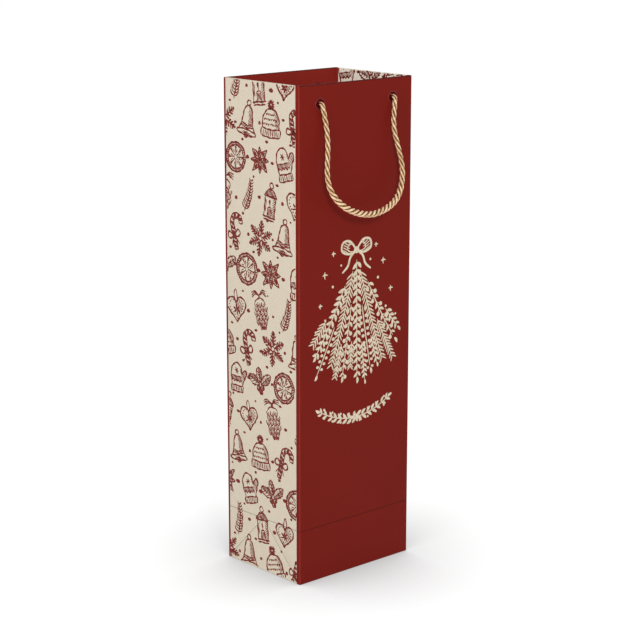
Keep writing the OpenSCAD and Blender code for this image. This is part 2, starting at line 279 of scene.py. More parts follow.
def through(points, step):
    """Even points on the Catmull-Rom curve through the given ones. On the span from b to c it is half of
    2 b + (c - a) u + (2 a - 5 b + 4 c - d) u^2 + (3 b - a - 3 c + d) u^3."""
    p = np.asarray(points, float)
    p = np.vstack([2 * p[0] - p[1], p, 2 * p[-1] - p[-2]])
    a, b, c, d, u = spans(p)
    curve = (2 * b + (c - a) * u + (2 * a - 5 * b + 4 * c - d) * u**2 + (3 * b - a - 3 * c + d) * u**3) / 2
    return evenly(np.vstack([curve.reshape(-1, p.shape[1]), p[-2]]), step)


def node(tree, kind, inputs=None, out=0, **settings):
    """Adds a shader node with its settings, fills each input by name or number with a value or another node's
    output, and gives its own output of that name or number."""
    added = tree.nodes.new("ShaderNode" + kind)
    for name, value in settings.items():
        setattr(added, name, value)
    for name, value in (inputs or {}).items():
        if isinstance(value, bpy.types.NodeSocket):
            tree.links.new(value, added.inputs[name])
        else:
            added.inputs[name].default_value = value
    return added.outputs[out]


def new_finish(name, grains, **constants):
    """A material, its function that adds a node, and a noise on Object coordinates for each grain's inputs. The
    constants are set on the shader's own inputs, by name with spaces as _."""
    material = bpy.data.materials.new(name)
    material.use_nodes = True
    shader = material.node_tree.nodes["Principled BSDF"]
    for key, value in constants.items():
        shader.inputs[key.replace("_", " ")].default_value = value
    add = partial(node, material.node_tree)
    place = add("TexCoord", out="Object")
    return material, add, [add("TexNoise", {"Vector": place, **grain}) for grain in grains]


def layered(material, ground, layers, bump=None):
    """Lays colours by their shares over a ground, the lowest first, adds a bump of (height, strength, depth), and
    gives the material."""
    tree = material.node_tree
    shader = tree.nodes["Principled BSDF"]
    for share, colour in layers:
        ground = node(tree, "Mix", {0: share, 6: ground, 7: rgba(colour)}, 2, data_type="RGBA")
    tree.links.new(ground, shader.inputs["Base Color"])
    if bump:
        relief = node(tree, "Bump", dict(zip(("Height", "Strength", "Distance"), bump)))
        tree.links.new(relief, shader.inputs["Normal"])
    return material


def rgba(colour, gain=1.0):
    """Four channels of a colour, times gain and held at 1."""
    return (*(min(1.0, gain * c) for c in colour[:3]), 1.0)


def matt_laminated_print(sheet):
    """Offset ink on folding board under a matt film: even, with a low broad sheen. The turned-in ply is painted a
    lighter red, painted light that makes up for the shade in the mouth, so that it reads as bright inside as
    outside.
    On the creases the ink cracks pale, with a painted highlight where a rounded crease catches the light, and a
    pressed line and the fold over the rim are painted darker, painted shade because light doesn't reach into them."""
    # Clouds of 40 mm in the ink's density, cracks of 1.5 mm that break the pale line up, and the film's grain
    grains = {"Scale": 25, "Detail": 3}, {"Scale": 650, "Detail": 4}, {"Scale": 1200, "Detail": 2}
    material, add, (cloud, crack, film) = new_finish("matt laminated red print", grains, Roughness=0.46,
                                                     Specular_IOR_Level=0.06)
    inside, wear_and_highlight, pressed = (add("Attribute", out="Fac", attribute_name=name)
                             for name in ("turned_in", "wear_and_highlight", "pressed"))
    # Pale cracks with a painted highlight on the creases, and painted shade in the pressed lines and over the rim
    crack_and_highlight = add("Math", {0: wear_and_highlight, 1: crack}, operation="MULTIPLY")
    crack_and_highlight = add("Math", {0: crack_and_highlight, 1: 0.42}, operation="MULTIPLY", use_clamp=True)
    shaded = add("Math", {0: pressed, 1: 0.95}, operation="MULTIPLY")
    return layered(material, rgba(sheet.red, 0.94), [
        (cloud, rgba(sheet.red, 1.06)), (inside, sheet.red_turned_in_painted_light), (crack_and_highlight, sheet.red_crease_wear_and_highlight),
        (shaded, sheet.red_pressed_shade)], (film, 0.12, 0.04 * MM))


def cream_printed_stock(sheet):
    """Smooth folding board printed cream: a soft even surface with faint fibre clouds, painted grey shade in its
    pressed lines, and paler where a crease stretches it, with a painted highlight there too. The turned-in ply is
    painted paler, painted light that makes up for the shade in the mouth."""
    # Fibre clouds of 6 mm, and flecks of about 1 mm
    grains = {"Scale": 160, "Detail": 5}, {"Scale": 900, "Detail": 4}
    material, add, (cloud, fibre) = new_finish("cream printed stock", grains, Roughness=0.6,
                                               Specular_IOR_Level=0.25)
    inside, wear_and_highlight, pressed = (add("Attribute", out="Fac", attribute_name=name)
                             for name in ("turned_in", "wear_and_highlight", "pressed"))
    # Paler stretched stock with a painted highlight on the creases, and painted shade in the pressed lines
    stretch_and_highlight = add("Math", {0: wear_and_highlight, 1: 0.5}, operation="MULTIPLY")
    shaded = add("Math", {0: pressed, 1: 0.9}, operation="MULTIPLY")
    return layered(material, rgba(sheet.cream, 0.95), [
        (cloud, rgba(sheet.cream, 1.05)), (inside, sheet.cream_turned_in_painted_light), (stretch_and_highlight, sheet.cream_crease_stretch_and_highlight),
        (shaded, sheet.cream_pressed_shade)], (fibre, 0.2, 0.05 * MM))


def uncoated_paper(sheet):
    """Unprinted back of the sheet: matt and white, with fibres that catch the light."""
    material, _, (fibre,) = new_finish("uncoated white paper", [{"Scale": 420, "Detail": 6}], Roughness=0.85,
                                       Specular_IOR_Level=0.25)
    return layered(material, rgba(sheet.bare, 0.93), [(fibre, rgba(sheet.bare, 1.04))], (fibre, 0.35, 0.1 * MM))


def recycled_grey_board(sheet):
    """Grey board from waste paper: a dull felt of fibres with dark and pale specks."""
    grains = [{"Scale": 240, "Detail": 8, "Roughness": 0.7}]
    material, add, (felt,) = new_finish("recycled grey board", grains, Roughness=0.92, Specular_IOR_Level=0.2)
    # Specks of 0.5 mm about 3 mm apart
    cells = add("TexVoronoi", {"Vector": add("TexCoord", out="Object"), "Scale": 330})
    speck = add("MapRange", {0: cells, 1: 0.1, 2: 0.18, 3: 0.6, 4: 0})
    return layered(material, rgba(sheet.board, 0.8), [(felt, rgba(sheet.board, 1.2)), (speck, sheet.speck)],
                   (felt, 0.5, 0.15 * MM))


def offset_ink(name, colour, spread):
    """Printed line: ink with no body of its own, thinner and paler in patches of about 3 mm."""
    material, add, (patch,) = new_finish(name, [{"Scale": 330, "Detail": 4}], Roughness=0.5,
                                         Specular_IOR_Level=0.2)
    return layered(material, rgba(colour), [(add("MapRange", {0: patch, 1: 0.35, 2: 0.7}), spread)])


def enamelled_steel(rope):
    """Pressed steel under red lacquer: a soft gloss, a little uneven, and painted dark red shade down in the bore.
    """
    material, add, (pool,) = new_finish("enamelled steel", [{"Scale": 500, "Detail": 2}], Roughness=0.35,
                                        Specular_IOR_Level=0.16)
    # The share of the painted shade down in the bore
    inside = add("Attribute", out="Fac", attribute_name="inside")
    return layered(material, rgba(rope.enamel, 0.8), [(pool, rgba(rope.enamel, 1.25)), (inside, rope.enamel_bore_shade)],
                   (pool, 0.15, 0.05 * MM))


def laid_jute(rope):
    """Jute yarn: dry, slightly hairy fibres, golden with a painted highlight on top of a strand, dark brown
    painted shade down between two, and painted dark red shade deep in an eyelet.
    """
    # Fibres, and patches of about 3 mm in which the yarn is bleached
    grains = {"Scale": 1300, "Detail": 3}, {"Scale": 330, "Detail": 1}
    material, add, (fibre, patch) = new_finish("laid jute rope", grains, Roughness=0.9, Specular_IOR_Level=0.12)
    depth, deep = (add("Attribute", out="Fac", attribute_name=name) for name in ("crown", "deep"))
    lift = add("MapRange", {0: fibre, 1: 0.3, 2: 0.7, 3: -0.16, 4: 0.16})
    bleach = add("MapRange", {0: patch, 1: 0.35, 2: 0.65, 3: 0.78, 4: 1.12})
    # The shares paint shade between the strands and a highlight on their tops, varied by the fibres and bleached
    # patches
    share = add("Math", {0: depth, 1: bleach, 2: lift}, operation="MULTIPLY_ADD", use_clamp=True)
    low, high = add("MapRange", {0: share, 2: 0.5}), add("MapRange", {0: share, 1: 0.55})
    return layered(material, rgba(rope.groove), [(low, rope.flank), (high, rope.crown), (deep, rope.deep)],
                   (fibre, 0.6, 0.2 * MM))


# The hanging loop from its pivot to its lowest point: across (share of a hole's distance from the middle),
# out (share of LOOP_OUT) and down (share of LOOP_DROP)
LOOP_ROUTE = np.array([
    [0.985, 0.005, 0.05], [0.965, 0.02, 0.1], [0.94, 0.05, 0.17], [0.925, 0.1, 0.25], [0.935, 0.18, 0.34],
    [0.97, 0.28, 0.43], [1.01, 0.36, 0.52], [1.035, 0.43, 0.6], [1.03, 0.5, 0.68], [0.98, 0.59, 0.76],
    [0.88, 0.72, 0.835], [0.725, 0.85, 0.9], [0.52, 0.94, 0.95], [0.27, 0.985, 0.985], [0, 1, 1],
])
LOOP_OUT, LOOP_DROP = 15 * MM, 87 * MM
# It starts a little inside the panel's face, and swings about a line in front of it
START_IN, PIVOT_OUT = 0.6 * MM, 3.5 * MM
# A stiff rope arches over the bore's middle as it leaves, and turns down close to the flange
ELBOW_R, ELBOW_RISE, ELBOW_IN = 2.2 * MM, 0.5 * MM, 0.6 * MM
# A knot's lobes, and half of its thickness, to the rope's centre line
KNOT_LOBE, KNOT_RISE = 7.2 * MM, 2.4 * MM
KNOT_SQUEEZE = 0.86
KNOT_GAP = 0.3 * MM
# Where a strand's centre runs, and its own radius, as shares of the rope's radius
STRAND_OUT, STRAND_R = 0.536, 0.464
# Yarns seen on a strand, how far they stand out, and how much further than the strand they turn
YARNS, YARN_RISE, YARN_TURN = 7, 0.09, 2.1


def carried(tangents, start):
    """A side direction at each point of a path: the one before less its part along the tangent, at length 1."""
    sides = np.empty_like(tangents)
    side = np.asarray(start, float)
    for i, tangent in enumerate(tangents):
        side = side - side @ tangent * tangent
        side /= np.linalg.norm(side)
        sides[i] = side
    return sides


def laid_rope(path, radius, lay, start, open_ends=0.0):
    """Three strands laid round a path. A strand's centre goes round it at STRAND_OUT of the rope's radius, back by
    one turn in each lay, which is a left-hand rope. Its surface has STRAND_R of that radius, times
    1 + YARN_RISE cos(YARNS a), where a is the place on a mesh ring that itself turns on by YARN_TURN of the
    strand's turn, and times 1 + 0.05 of the product of two sines along it, so that no two turns are alike. The
    strand's radius closes as a quarter circle at both ends. Also gives each point's share of painted light, from 0
    deep between the strands, which is painted in shade, to 1 on top of one, which is painted as a highlight."""
    step = np.linalg.norm(np.diff(path, axis=0), axis=1)
    reach = np.r_[0, np.cumsum(step)]
    tangents = np.gradient(path, axis=0)
    tangents /= np.linalg.norm(tangents, axis=1)[:, None]
    normal = carried(tangents, start)
    binormal = np.cross(tangents, normal)
    turn = -np.r_[0, np.cumsum(step * 2 * np.pi / ((lay[1:] + lay[:-1]) / 2))]
    to_end = np.minimum(reach, reach[-1] - reach)
    dome = np.sqrt(1 - (1 - np.clip(to_end / (0.45 * radius), 0.002, 1)) ** 2)
    spread = STRAND_OUT * radius * (1 + open_ends * (1 - smooth_step(to_end / (1.6 * radius))))
    on_ring = whole_turn(4 * YARNS)
    yarn = np.cos(YARNS * on_ring)
    place = on_ring - YARN_TURN * turn[:, None]
    parts, crowns = [], []
    for strand in range(3):
        a = (turn + 2 * np.pi * strand / 3)[:, None]
        out = np.cos(a) * normal + np.sin(a) * binormal
        along = np.cross(tangents, out)
        plump = 1 + 0.05 * np.sin(reach / (3.1 * MM) + 2 * strand) * np.sin(reach / (7.3 * MM) + strand)
        r = STRAND_R * (radius * dome * plump)[:, None] * (1 + YARN_RISE * yarn)
        points = (path + spread[:, None] * out)[:, None] + (r * np.cos(place))[..., None] * out[:, None]
        points = points + (r * np.sin(place))[..., None] * along[:, None]
        from_path = np.linalg.norm(points - path[:, None], axis=2) / radius[:, None]
        parts.append((points, tube_faces(len(path), len(on_ring))))
        # Painted light: shade deep between the strands, a highlight on their tops
        crowns.append(smooth_step((from_path - 0.52) / 0.45) * (0.86 + 0.14 * yarn))
    return *joined(parts), np.ravel(crowns)


def loop_path(step):
    """Centre line of the front handle: out of one bore, a quarter turn down, the listed route to its lowest
    point, and the same backwards on the other side."""
    bend = np.radians([0, 30, 60])
    bend_y = -HALF_D - PIVOT_OUT + ELBOW_IN + ELBOW_R * (1 - np.sin(bend))
    bend_z = HOLE_Z - ELBOW_R * (1 - np.cos(bend)) + ELBOW_RISE
    elbow = np.stack([np.full(3, HOLE_X), bend_y, bend_z], 1)
    route = [0, -HALF_D - PIVOT_OUT, HOLE_Z] + LOOP_ROUTE * [HOLE_X, -LOOP_OUT, -LOOP_DROP]
    half = np.vstack([[HOLE_X, -HALF_D + START_IN, HOLE_Z], elbow, route])
    return through(np.vstack([half, half[-2::-1] * [-1, 1, 1]]), step)


def overhand_path(rope, step):
    """Centre line of a front knot, with the eyelet's axis as Y and the panel's outer face at 0, and its radius.
    Between its straight ends it is (sin t + 2 sin 2t) / 3 across, sin 3t in and out and -(cos t - 2 cos 2t) / 3
    up, in knot lobes and rises, rounded as a cubic B-spline."""
    loose, tight = rope.diameter / 2, rope.diameter / 2 * KNOT_SQUEEZE
    lead = RIM_T + CURL_H + KNOT_GAP + tight
    t = np.radians(np.linspace(202, 518, 15))
    lobes = np.stack([KNOT_LOBE / 3 * (np.sin(t) + 2 * np.sin(2 * t)), KNOT_RISE * np.sin(3 * t),
                      -KNOT_LOBE / 3 * (np.cos(t) - 2 * np.cos(2 * t))], 1)
    share = np.arange(4)[:, None]
    stub = [0, -KNOT_RISE, KNOT_LOBE] - share[::-1] * [0, (lead - 0.4 * MM) / 2, 0]
    tail = [0, KNOT_RISE, KNOT_LOBE] + share * [0, rope.tail / 2, 0]
    p = np.vstack([stub, lobes, tail])
    a, b, c, d, u = spans(p)
    spline = (1 - u) ** 3 * a + (3 * u**3 - 6 * u**2 + 4) * b + (-3 * u**3 + 3 * u**2 + 3 * u + 1) * c + u**3 * d
    path = evenly(np.vstack([spline.reshape(-1, 3), p[-3] + 4 * p[-2] + p[-1]]) / 6, step)
    radius = tight + np.clip((path[:, 1] - KNOT_RISE) / loose, 0, 1) * (loose - tight)
    radius += np.clip((-path[:, 1] - KNOT_RISE) / loose, 0, 1) * (0.45 * rope.leg_d - tight)
    return path + [0, lead + KNOT_RISE, -KNOT_LOBE], radius


def around(sheet):
    """Places on the rounded rectangle of the bag, anticlockwise from the front left corner: shares of the straight
    half sides fx and fy, and the normal nx, ny. A layer whose half sides are hx and hy and whose corner radius is
    r has its point at (fx (hx - r) + nx r, fy (hy - r) + ny r)."""
    def shares(half, *wraps):
        inner = half - sheet.crease_r
        # Even places, which give way where one 0.5 mm from a crease or at a wrap's edge stands close to them
        even = np.linspace(-1, 1, 25)
        extra = [-1 + 0.5 * MM / inner, 1 - 0.5 * MM / inner, *(wrap / inner for wrap in wraps)]
        return np.unique(np.r_[even[np.min(np.abs(even[:, None] - extra), 1) > 0.012], extra, -1, 1])
    wide, deep = shares(HALF_W), shares(HALF_D, -HALF_D + sheet.front_wrap, HALF_D - sheet.back_wrap)
    corner = np.radians(np.linspace(0, 90, 8)[1:-1])
    places = []
    for fx, fy, nx, ny in ((wide, -1, 0, -1), (1, deep, 1, 0), (-wide, 1, 0, 1), (-1, deep[::-1], -1, 0)):
        wall = np.broadcast_arrays(fx, fy, nx, ny)
        # After each wall the corner turns from its normal on to the next one's
        end = wall[0][-1], wall[1][-1], nx * np.cos(corner) - ny * np.sin(corner)
        places += [wall, np.broadcast_arrays(*end, nx * np.sin(corner) + ny * np.cos(corner))]
    return np.concatenate(places, axis=1).astype(float)


def wave(sheet, normal_x, across, up):
    """How far a wall bows out: 1 - c^2 between its creases (c is the share of the half width), faded in over the
    first 60 mm and out at the stiff rim, times 0.6 and 0.4 of two sines of 190 mm and 83 mm that lean with c."""
    c = np.clip(across / np.where(np.abs(normal_x) > 0.5, HALF_D, HALF_W), -1, 1)
    fade = smooth_step(up / (60 * MM)) * (1 - smooth_step((up - BAG_H + 90 * MM) / (50 * MM)))
    sway = 0.6 * np.sin(2 * np.pi * up / (190 * MM) + 1.7 * c + 1.3 * normal_x)
    ripple = 0.4 * np.sin(2 * np.pi * up / (83 * MM) - 2.3 * c + 2.1)
    return sheet.wave * (1 - c * c) * fade * (sway + ripple)


# Gap inside the folded sheet, the hem's corner radius, and the least radius that a closing corner keeps
FOLD_SLACK, HEM_CORNER_R, LEAST_R = 0.03 * MM, 0.5 * MM, 0.05 * MM


def sheet_skin(sheet, reach, nx, ny, q):
    """The skin that lies q deep in the sheet, as rows of (inset at the sides, inset at front and back, corner
    radius, height, groove depth, wear with a painted highlight): a quarter circle at the foot, up the wall, a half
    circle over the rim, and down inside as the hem. reach is each place's distance from the nearest upright
    crease, and the slanting line on a gusset stands as high as that."""
    r = sheet.crease_r
    fold_r, rim_r = sheet.sheet_t + FOLD_SLACK, RIM_T / 2
    over_r = rim_r * ny**2 + fold_r * nx**2
    line = sheet.score_w / 2
    foot = r + 0.5 * MM
    # The slanting line keeps clear of the foot and of the level line, so that no two rows cross
    slant = np.clip(reach, foot + 1.1 * line, SCORE_Z - 2.1 * line)
    slant_deep = sheet.score_deep * (np.abs(nx) > 0.99) * smooth_step((reach - foot) / (2 * MM))
    under = np.maximum(SCORE_Z - line - 0.3 * MM, slant + 1.05 * line)
    # Rows spread below the slanting line, its three, rows spread above it, the level line's, and 44 for the bow
    quarters = np.arange(1, 4) / 4
    wall = [(r, 0), (foot, 0), *((foot + (slant - line - foot) * k, 0) for k in quarters)]
    wall += [(slant - line, 0), (slant, slant_deep), (slant + line, 0)]
    wall += [(slant + line + (under - slant - line) * k, 0) for k in quarters]
    wall += [(under, 0), (SCORE_Z - line, 0), (SCORE_Z, sheet.score_deep), (SCORE_Z + line, 0)]
    wall += [(z, 0) for z in (SCORE_Z + line + 0.3 * MM, *np.linspace(SCORE_Z + 6 * MM, BAG_H - 8 * MM, 44))]
    wall += [(BAG_H - over_r - 0.5 * MM, 0)]
    # The last value of a row is crease wear with a painted highlight: full on the upright corners, and on the
    # bends at the foot and over the rim
    upright = ((np.abs(nx) < 0.99) & (np.abs(ny) < 0.99)) * 1.0
    rows = []
    for a in np.radians(np.arange(0, 90, 15)):
        inset = r - (r - q) * np.sin(a)
        rows.append((inset, inset, max((r - q) * np.sin(a), LEAST_R), r - (r - q) * np.cos(a), 0,
                     np.maximum(upright, 0.8 * np.sin(2 * a))))
    rows += [(q, q, r - q, z, deep, upright) for z, deep in wall]
    for a in np.radians(np.arange(0, 181, 20)):
        share = (1 - np.cos(a)) / 2
        rows.append((fold_r - (fold_r - q) * np.cos(a), rim_r - (rim_r - q) * np.cos(a),
                     r - q + (HEM_CORNER_R + 2 * q - r) * share, BAG_H - over_r + (over_r - q) * np.sin(a), 0,
                     np.maximum(upright * (1 - share), 0.15 * np.sin(a) ** 2)))
    return rows + [(2 * fold_r - q, 2 * rim_r - q, HEM_CORNER_R + q, BAG_H - HEM_H * k, 0, 0)
                   for k in (0.05, 0.3, 0.6, 0.985, 1)]


def sheet_shell(sheet):
    """Points, faces, attributes and material numbers of the printed sheet: its outer skin and then its inner one
    backwards, carried round the bag."""
    fx, fy, nx, ny = around(sheet)
    outer_x = fx * (HALF_W - sheet.crease_r) + nx * sheet.crease_r
    outer_y = fy * (HALF_D - sheet.crease_r) + ny * sheet.crease_r
    on_side = np.abs(nx) > 0.99
    # A corner place has no wall of its own to bow with
    flat = on_side | (np.abs(ny) > 0.99)
    reach = np.where(on_side, HALF_D - np.abs(outer_y), HALF_W - np.abs(outer_x)) * flat
    outer, inner = (sheet_skin(sheet, reach, nx, ny, q) for q in (0, sheet.sheet_t))
    rows = outer + inner[::-1]
    printed = np.arange(len(rows)) < len(outer)
    inset_x, inset_y, corner_r, up, groove, wear_and_highlight = (
        np.array([np.broadcast_to(row[k], fx.shape) for row in rows]) for k in range(6))
    groove, wear_and_highlight = groove * printed[:, None], wear_and_highlight * printed[:, None]
    out = corner_r + wave(sheet, nx, np.where(on_side, outer_y, outer_x), up) * flat - groove
    points = np.stack([fx * (HALF_W - inset_x - corner_r) + nx * out,
                       fy * (HALF_D - inset_y - corner_r) + ny * out, up], -1)
    mid_x, mid_y = (outer_x + np.roll(outer_x, -1)) / 2, (outer_y + np.roll(outer_y, -1)) / 2
    cream = (np.abs(mid_x) > HALF_W - 0.01 * MM) & (mid_y > -HALF_D + sheet.front_wrap)
    cream &= mid_y < HALF_D - sheet.back_wrap
    slots = np.where((printed & np.roll(printed, -1))[:, None], cream, 2)
    # The turned-in ply, which the materials paint lighter: painted light that makes up for the shade in the mouth
    turned_in = (printed & (inset_x[:, 0] > 0.3 * MM) & (up.max(axis=1) > SCORE_Z))[:, None] + 0 * wear_and_highlight
    # The fold over the red rims is painted dark, a painted shade along the top of the rim
    rim = 0.9 * smooth_step((up - BAG_H + 1.1 * MM) / (0.8 * MM)) * (np.abs(ny) > 0.9)
    # The attributes carry painted light: shade in the pressed lines and over the rim, a highlight with the wear on
    # the creases, and a lighter turned-in ply
    attributes = {"pressed": groove / sheet.score_deep + rim, "wear_and_highlight": wear_and_highlight * (rim < 0.05), "turned_in": turned_in}
    return points, grid_faces(len(rows), len(fx), True, True).tolist(), attributes, slots.ravel()


def cut_holes(piece, radius):
    """Bores a hole of that radius along Y at each eyelet, through front and back."""
    a = whole_turn(48)
    parts = []
    for side in BOTH:
        circle = np.stack([side * HOLE_X + radius * np.cos(a), 0 * a, HOLE_Z + radius * np.sin(a)], 1)
        parts.append((np.stack([circle + [0, end * 1.2 * HALF_D, 0] for end in BOTH]), tube_faces(2, len(a))))
    cutter = new_piece("hole_cutter", *joined(parts), [], body=None)
    modifier = piece.modifiers.new("holes", "BOOLEAN")
    modifier.object = cutter
    modifier.solver = "EXACT"
    mesh = bpy.data.meshes.new_from_object(piece.evaluated_get(bpy.context.evaluated_depsgraph_get()))
    piece.modifiers.clear()
    piece.data = mesh
    mesh.set_sharp_from_angle(angle=np.radians(40))
    # The cut's own points lie on the outer or on the turned-in ply and take that ply's colour
    spots, values = np.empty(3 * len(mesh.vertices)), np.empty(len(mesh.vertices))
    mesh.vertices.foreach_get("co", spots)
    mesh.attributes["turned_in"].data.foreach_get("value", values)
    x, y, z = spots.reshape(-1, 3).T
    at_hole = np.hypot(np.abs(x) - HOLE_X, z - HOLE_Z) < radius + 0.05 * MM
    values[at_hole] = np.abs(y[at_hole]) < HALF_D - RIM_T / 2
    mesh.attributes["turned_in"].data.foreach_set("value", values)
    bpy.data.objects.remove(cutter)


def plate(face, thickness):
    """A closed plate from the grid of its one face, and the way from there to the other."""
    sections = np.concatenate([face, (face + thickness)[:, ::-1]], axis=1)
    return sections, tube_faces(*sections.shape[:2])


def slab(line, low, high, height, thickness, strips=8):
    """A plate of even thickness: for each value of line its cross section runs from low to high at that height."""
    across = low[:, None] + (high - low)[:, None] * np.linspace(0, 1, strips + 1)
    return plate(np.stack(np.broadcast_arrays(across, line[:, None], height[:, None]), -1), [0, 0, thickness])


def bottom_flap(sheet, level):
    """The front flap of two plies: its own, and the two gusset corners folded in above it. Along y = u - HALF_D
    both rise from the table to level as 3 s^2 - 2 s^3 over flap_slope, and narrow by u on each side."""
    t, r, slope = sheet.sheet_t, sheet.crease_r, sheet.flap_slope
    u = np.r_[np.linspace(r, r + slope, 13), np.linspace(r + slope + 2 * MM, HALF_D + sheet.flap_lap, 12)]
    height = level * smooth_step((u - r) / slope)
    half = HALF_W - np.maximum(u, r)
    own_ply = slab(u - HALF_D, -half, half, height, t)
    keep = half > sheet.fold_gap
    line, half, gap = (u - HALF_D)[keep], half[keep], np.full(keep.sum(), sheet.fold_gap)
    # The corner folds rest on the flap's own ply, a hair above it
    upper, thin = height[keep] + t + 0.01 * MM, t - 0.01 * MM
    return joined([own_ply, slab(line, gap, half, upper, thin, 5), slab(line, -half, -gap, upper, thin, 5)])


def side_tuck(sheet, level):
    """The left gusset's flap, which slopes up over the corner folds and lies flat on them as far as fold_gap from
    the middle. Until it has risen it narrows by u on each side, and there it has its full width again."""
    r, slope = sheet.crease_r, sheet.flap_slope
    u = np.r_[np.linspace(r, r + slope, 13), r + slope + 0.1 * MM,
              np.linspace(r + slope + 2 * MM, HALF_W - sheet.fold_gap, 10)]
    half = np.where(u < r + slope + 0.05 * MM, HALF_D - u, HALF_D - sheet.sheet_t - 0.6 * MM)
    sections, faces = slab(u - HALF_W, -half, half, level * smooth_step((u - r) / slope), sheet.sheet_t)
    return sections[..., [1, 0, 2]], faces


def eyelet():
    """Section of an eyelet turned about its axis: a trumpet mouth of one quarter ellipse from the bore out to the
    crest and a steeper one down to the panel, the barrel through the rim, a half ellipse for the washer inside,
    and from there the throat, which widens to the bore as 3 s^2 - 2 s^3. The panel's outer face is at 0 and +Z is
    out. Also gives 1 for the points inside the mouth, fading out to the crest, and in the throat: the share of the
    painted dark shade in the bore."""
    a = np.radians(np.linspace(0, 180, 17))
    crest_r, curl_r, mouth_deep, undercut = FLANGE_R - 0.75 * MM, FLANGE_R - 0.4 * MM, 0.6 * MM, 0.05 * MM
    flare = np.stack([BORE_R + (crest_r - BORE_R) * (1 - np.cos(a[:9])),
                      -mouth_deep + (FLANGE_H + mouth_deep) * np.sin(a[:9])], 1)
    outside = np.stack([crest_r - (FLANGE_R - crest_r) * np.cos(a[9:]), FLANGE_H * np.sin(a[9:])], 1)
    edge = [[FLANGE_R - undercut, 0], [BARREL_R, 0], [BARREL_R, -RIM_T], [curl_r - undercut, -RIM_T]]
    washer = np.stack([(curl_r + THROAT_R) / 2 + (curl_r - THROAT_R) / 2 * np.cos(a),
                       -RIM_T - CURL_H * np.sin(a)], 1)
    s = np.array([0.25, 0.5, 0.75])
    throat = np.stack([THROAT_R + (BORE_R - THROAT_R) * smooth_step(s), -RIM_T + (RIM_T - mouth_deep) * s], 1)
    profile = np.vstack([flare, outside, edge, washer, throat])
    turn = whole_turn(64)[:, None]
    r, z = profile[:, 0], profile[:, 1] + 0 * turn
    points = np.stack([r * np.cos(turn), -z - HALF_D, HOLE_Z + r * np.sin(turn)], -1)
    inside = np.zeros(len(profile))
    inside[:9] = 1 - smooth_step((flare[:, 0] - BORE_R) / (crest_r - BORE_R) * 1.2 - 0.2)
    inside[-len(throat) - 1:] = 1
    return points, grid_faces(len(turn), len(profile), True, True).tolist(), inside + 0 * turn


# A drawing is a list of strokes, and a stroke is its points on the flat panel and its width at each, all in
# millimetres. A filled shape is a stroke as wide as the shape's chords.
def pen(points, width=1.0, curved=True, tip=0.4, step=0.7):
    """A drawn line through points. Its width falls to tip at both ends as 1 - (1 - tip) (2 s - 1)^6."""
    points = np.asarray(points, float)
    line = through(points, step) if curved and len(points) > 2 else evenly(points, step)
    s = np.linspace(-1, 1, len(line))
    return line, width * (1 - (1 - tip) * s**6)


def lines(width, *routes, **how):
    """Pen strokes of one width, each along a route that is given as x, y, x, y and so on."""
    return [pen(np.reshape(route, (-1, 2)), width, **how) for route in routes]


def blot(x, y, radius, tall=1.0):
    """A filled ellipse as one upright stroke."""
    s = -np.cos(np.linspace(0.12, np.pi - 0.12, 9))
    return np.stack([x + 0 * s, y + radius * tall * s], 1), 2 * radius * np.sqrt(1 - s * s)


def leaf(x, y, heading, length, breadth):
    """A filled leaf from its base: breadth sin(pi s)^0.8 wide, on a line that bends by a tenth of its length."""
    s = np.linspace(0.03, 0.97, 8)
    along, aside = length * s, 0.1 * length * np.sin(np.pi * s)
    c, d = np.cos(heading), np.sin(heading)
    line = np.stack([x + along * c - aside * d, y + along * d + aside * c], 1)
    return line, breadth * np.sin(np.pi * s) ** 0.8


def ring(x, y, radius, width=1.0, tall=1.0):
    """An ellipse, drawn with the pen."""
    a = np.linspace(0, 2 * np.pi, 25)
    return pen(np.stack([x + radius * np.cos(a), y + radius * tall * np.sin(a)], 1), width, tip=0.7)


def rays(width, x, y, inner, outer, lean, angles):
    """Straight strokes out from a middle, from the inner radius to the outer one, lean further round."""
    return lines(width, *((x + inner * np.cos(a), y + inner * np.sin(a), x + outer * np.cos(a + lean),
                           y + outer * np.sin(a + lean)) for a in angles))


def moved(strokes, x=0.0, y=0.0, turn=0.0, scale=1.0):
    """Strokes scaled, turned and shifted. Their widths stay."""
    c, s = np.cos(turn), np.sin(turn)
    return [(scale * p @ np.array([[c, s], [-s, c]]) + [x, y], w) for p, w in strokes]


def round_middle(strokes, count, start=0.0, scales=(1.0,)):
    """Strokes repeated count times round the middle, by each scale in turn."""
    return [stroke for k, turn in enumerate(whole_turn(count))
            for stroke in moved(strokes, turn=turn + start, scale=scales[k % len(scales)])]


def hatched(outline, turn=0.9, gap=1.05, width=0.5):
    """A half tone: straight strokes at that turn across a closed outline of x, y, x, y and so on, gap apart."""
    c, s = np.cos(turn), np.sin(turn)
    here = np.reshape(outline, (-1, 2)) @ np.array([[c, -s], [s, c]])
    after = np.roll(here, -1, axis=0)
    strokes = []
    for y in np.arange(here[:, 1].min() + 0.5 * gap, here[:, 1].max(), gap):
        cross = (here[:, 1] <= y) != (after[:, 1] <= y)
        a, b = here[cross], after[cross]
        x = np.sort(a[:, 0] + (y - a[:, 1]) / (b[:, 1] - a[:, 1]) * (b[:, 0] - a[:, 0]))
        strokes += lines(width, *((x0, y, x1, y) for x0, x1 in zip(x[::2], x[1::2]) if x1 - x0 > 0.8))
    return moved(strokes, turn=turn)


def beside(line):
    """The unit vector to the left of a flat line at each of its points."""
    slope = np.gradient(line, axis=0)
    slope /= np.maximum(np.linalg.norm(slope, axis=1), 1e-9)[:, None]
    return np.stack([-slope[:, 1], slope[:, 0]], 1)


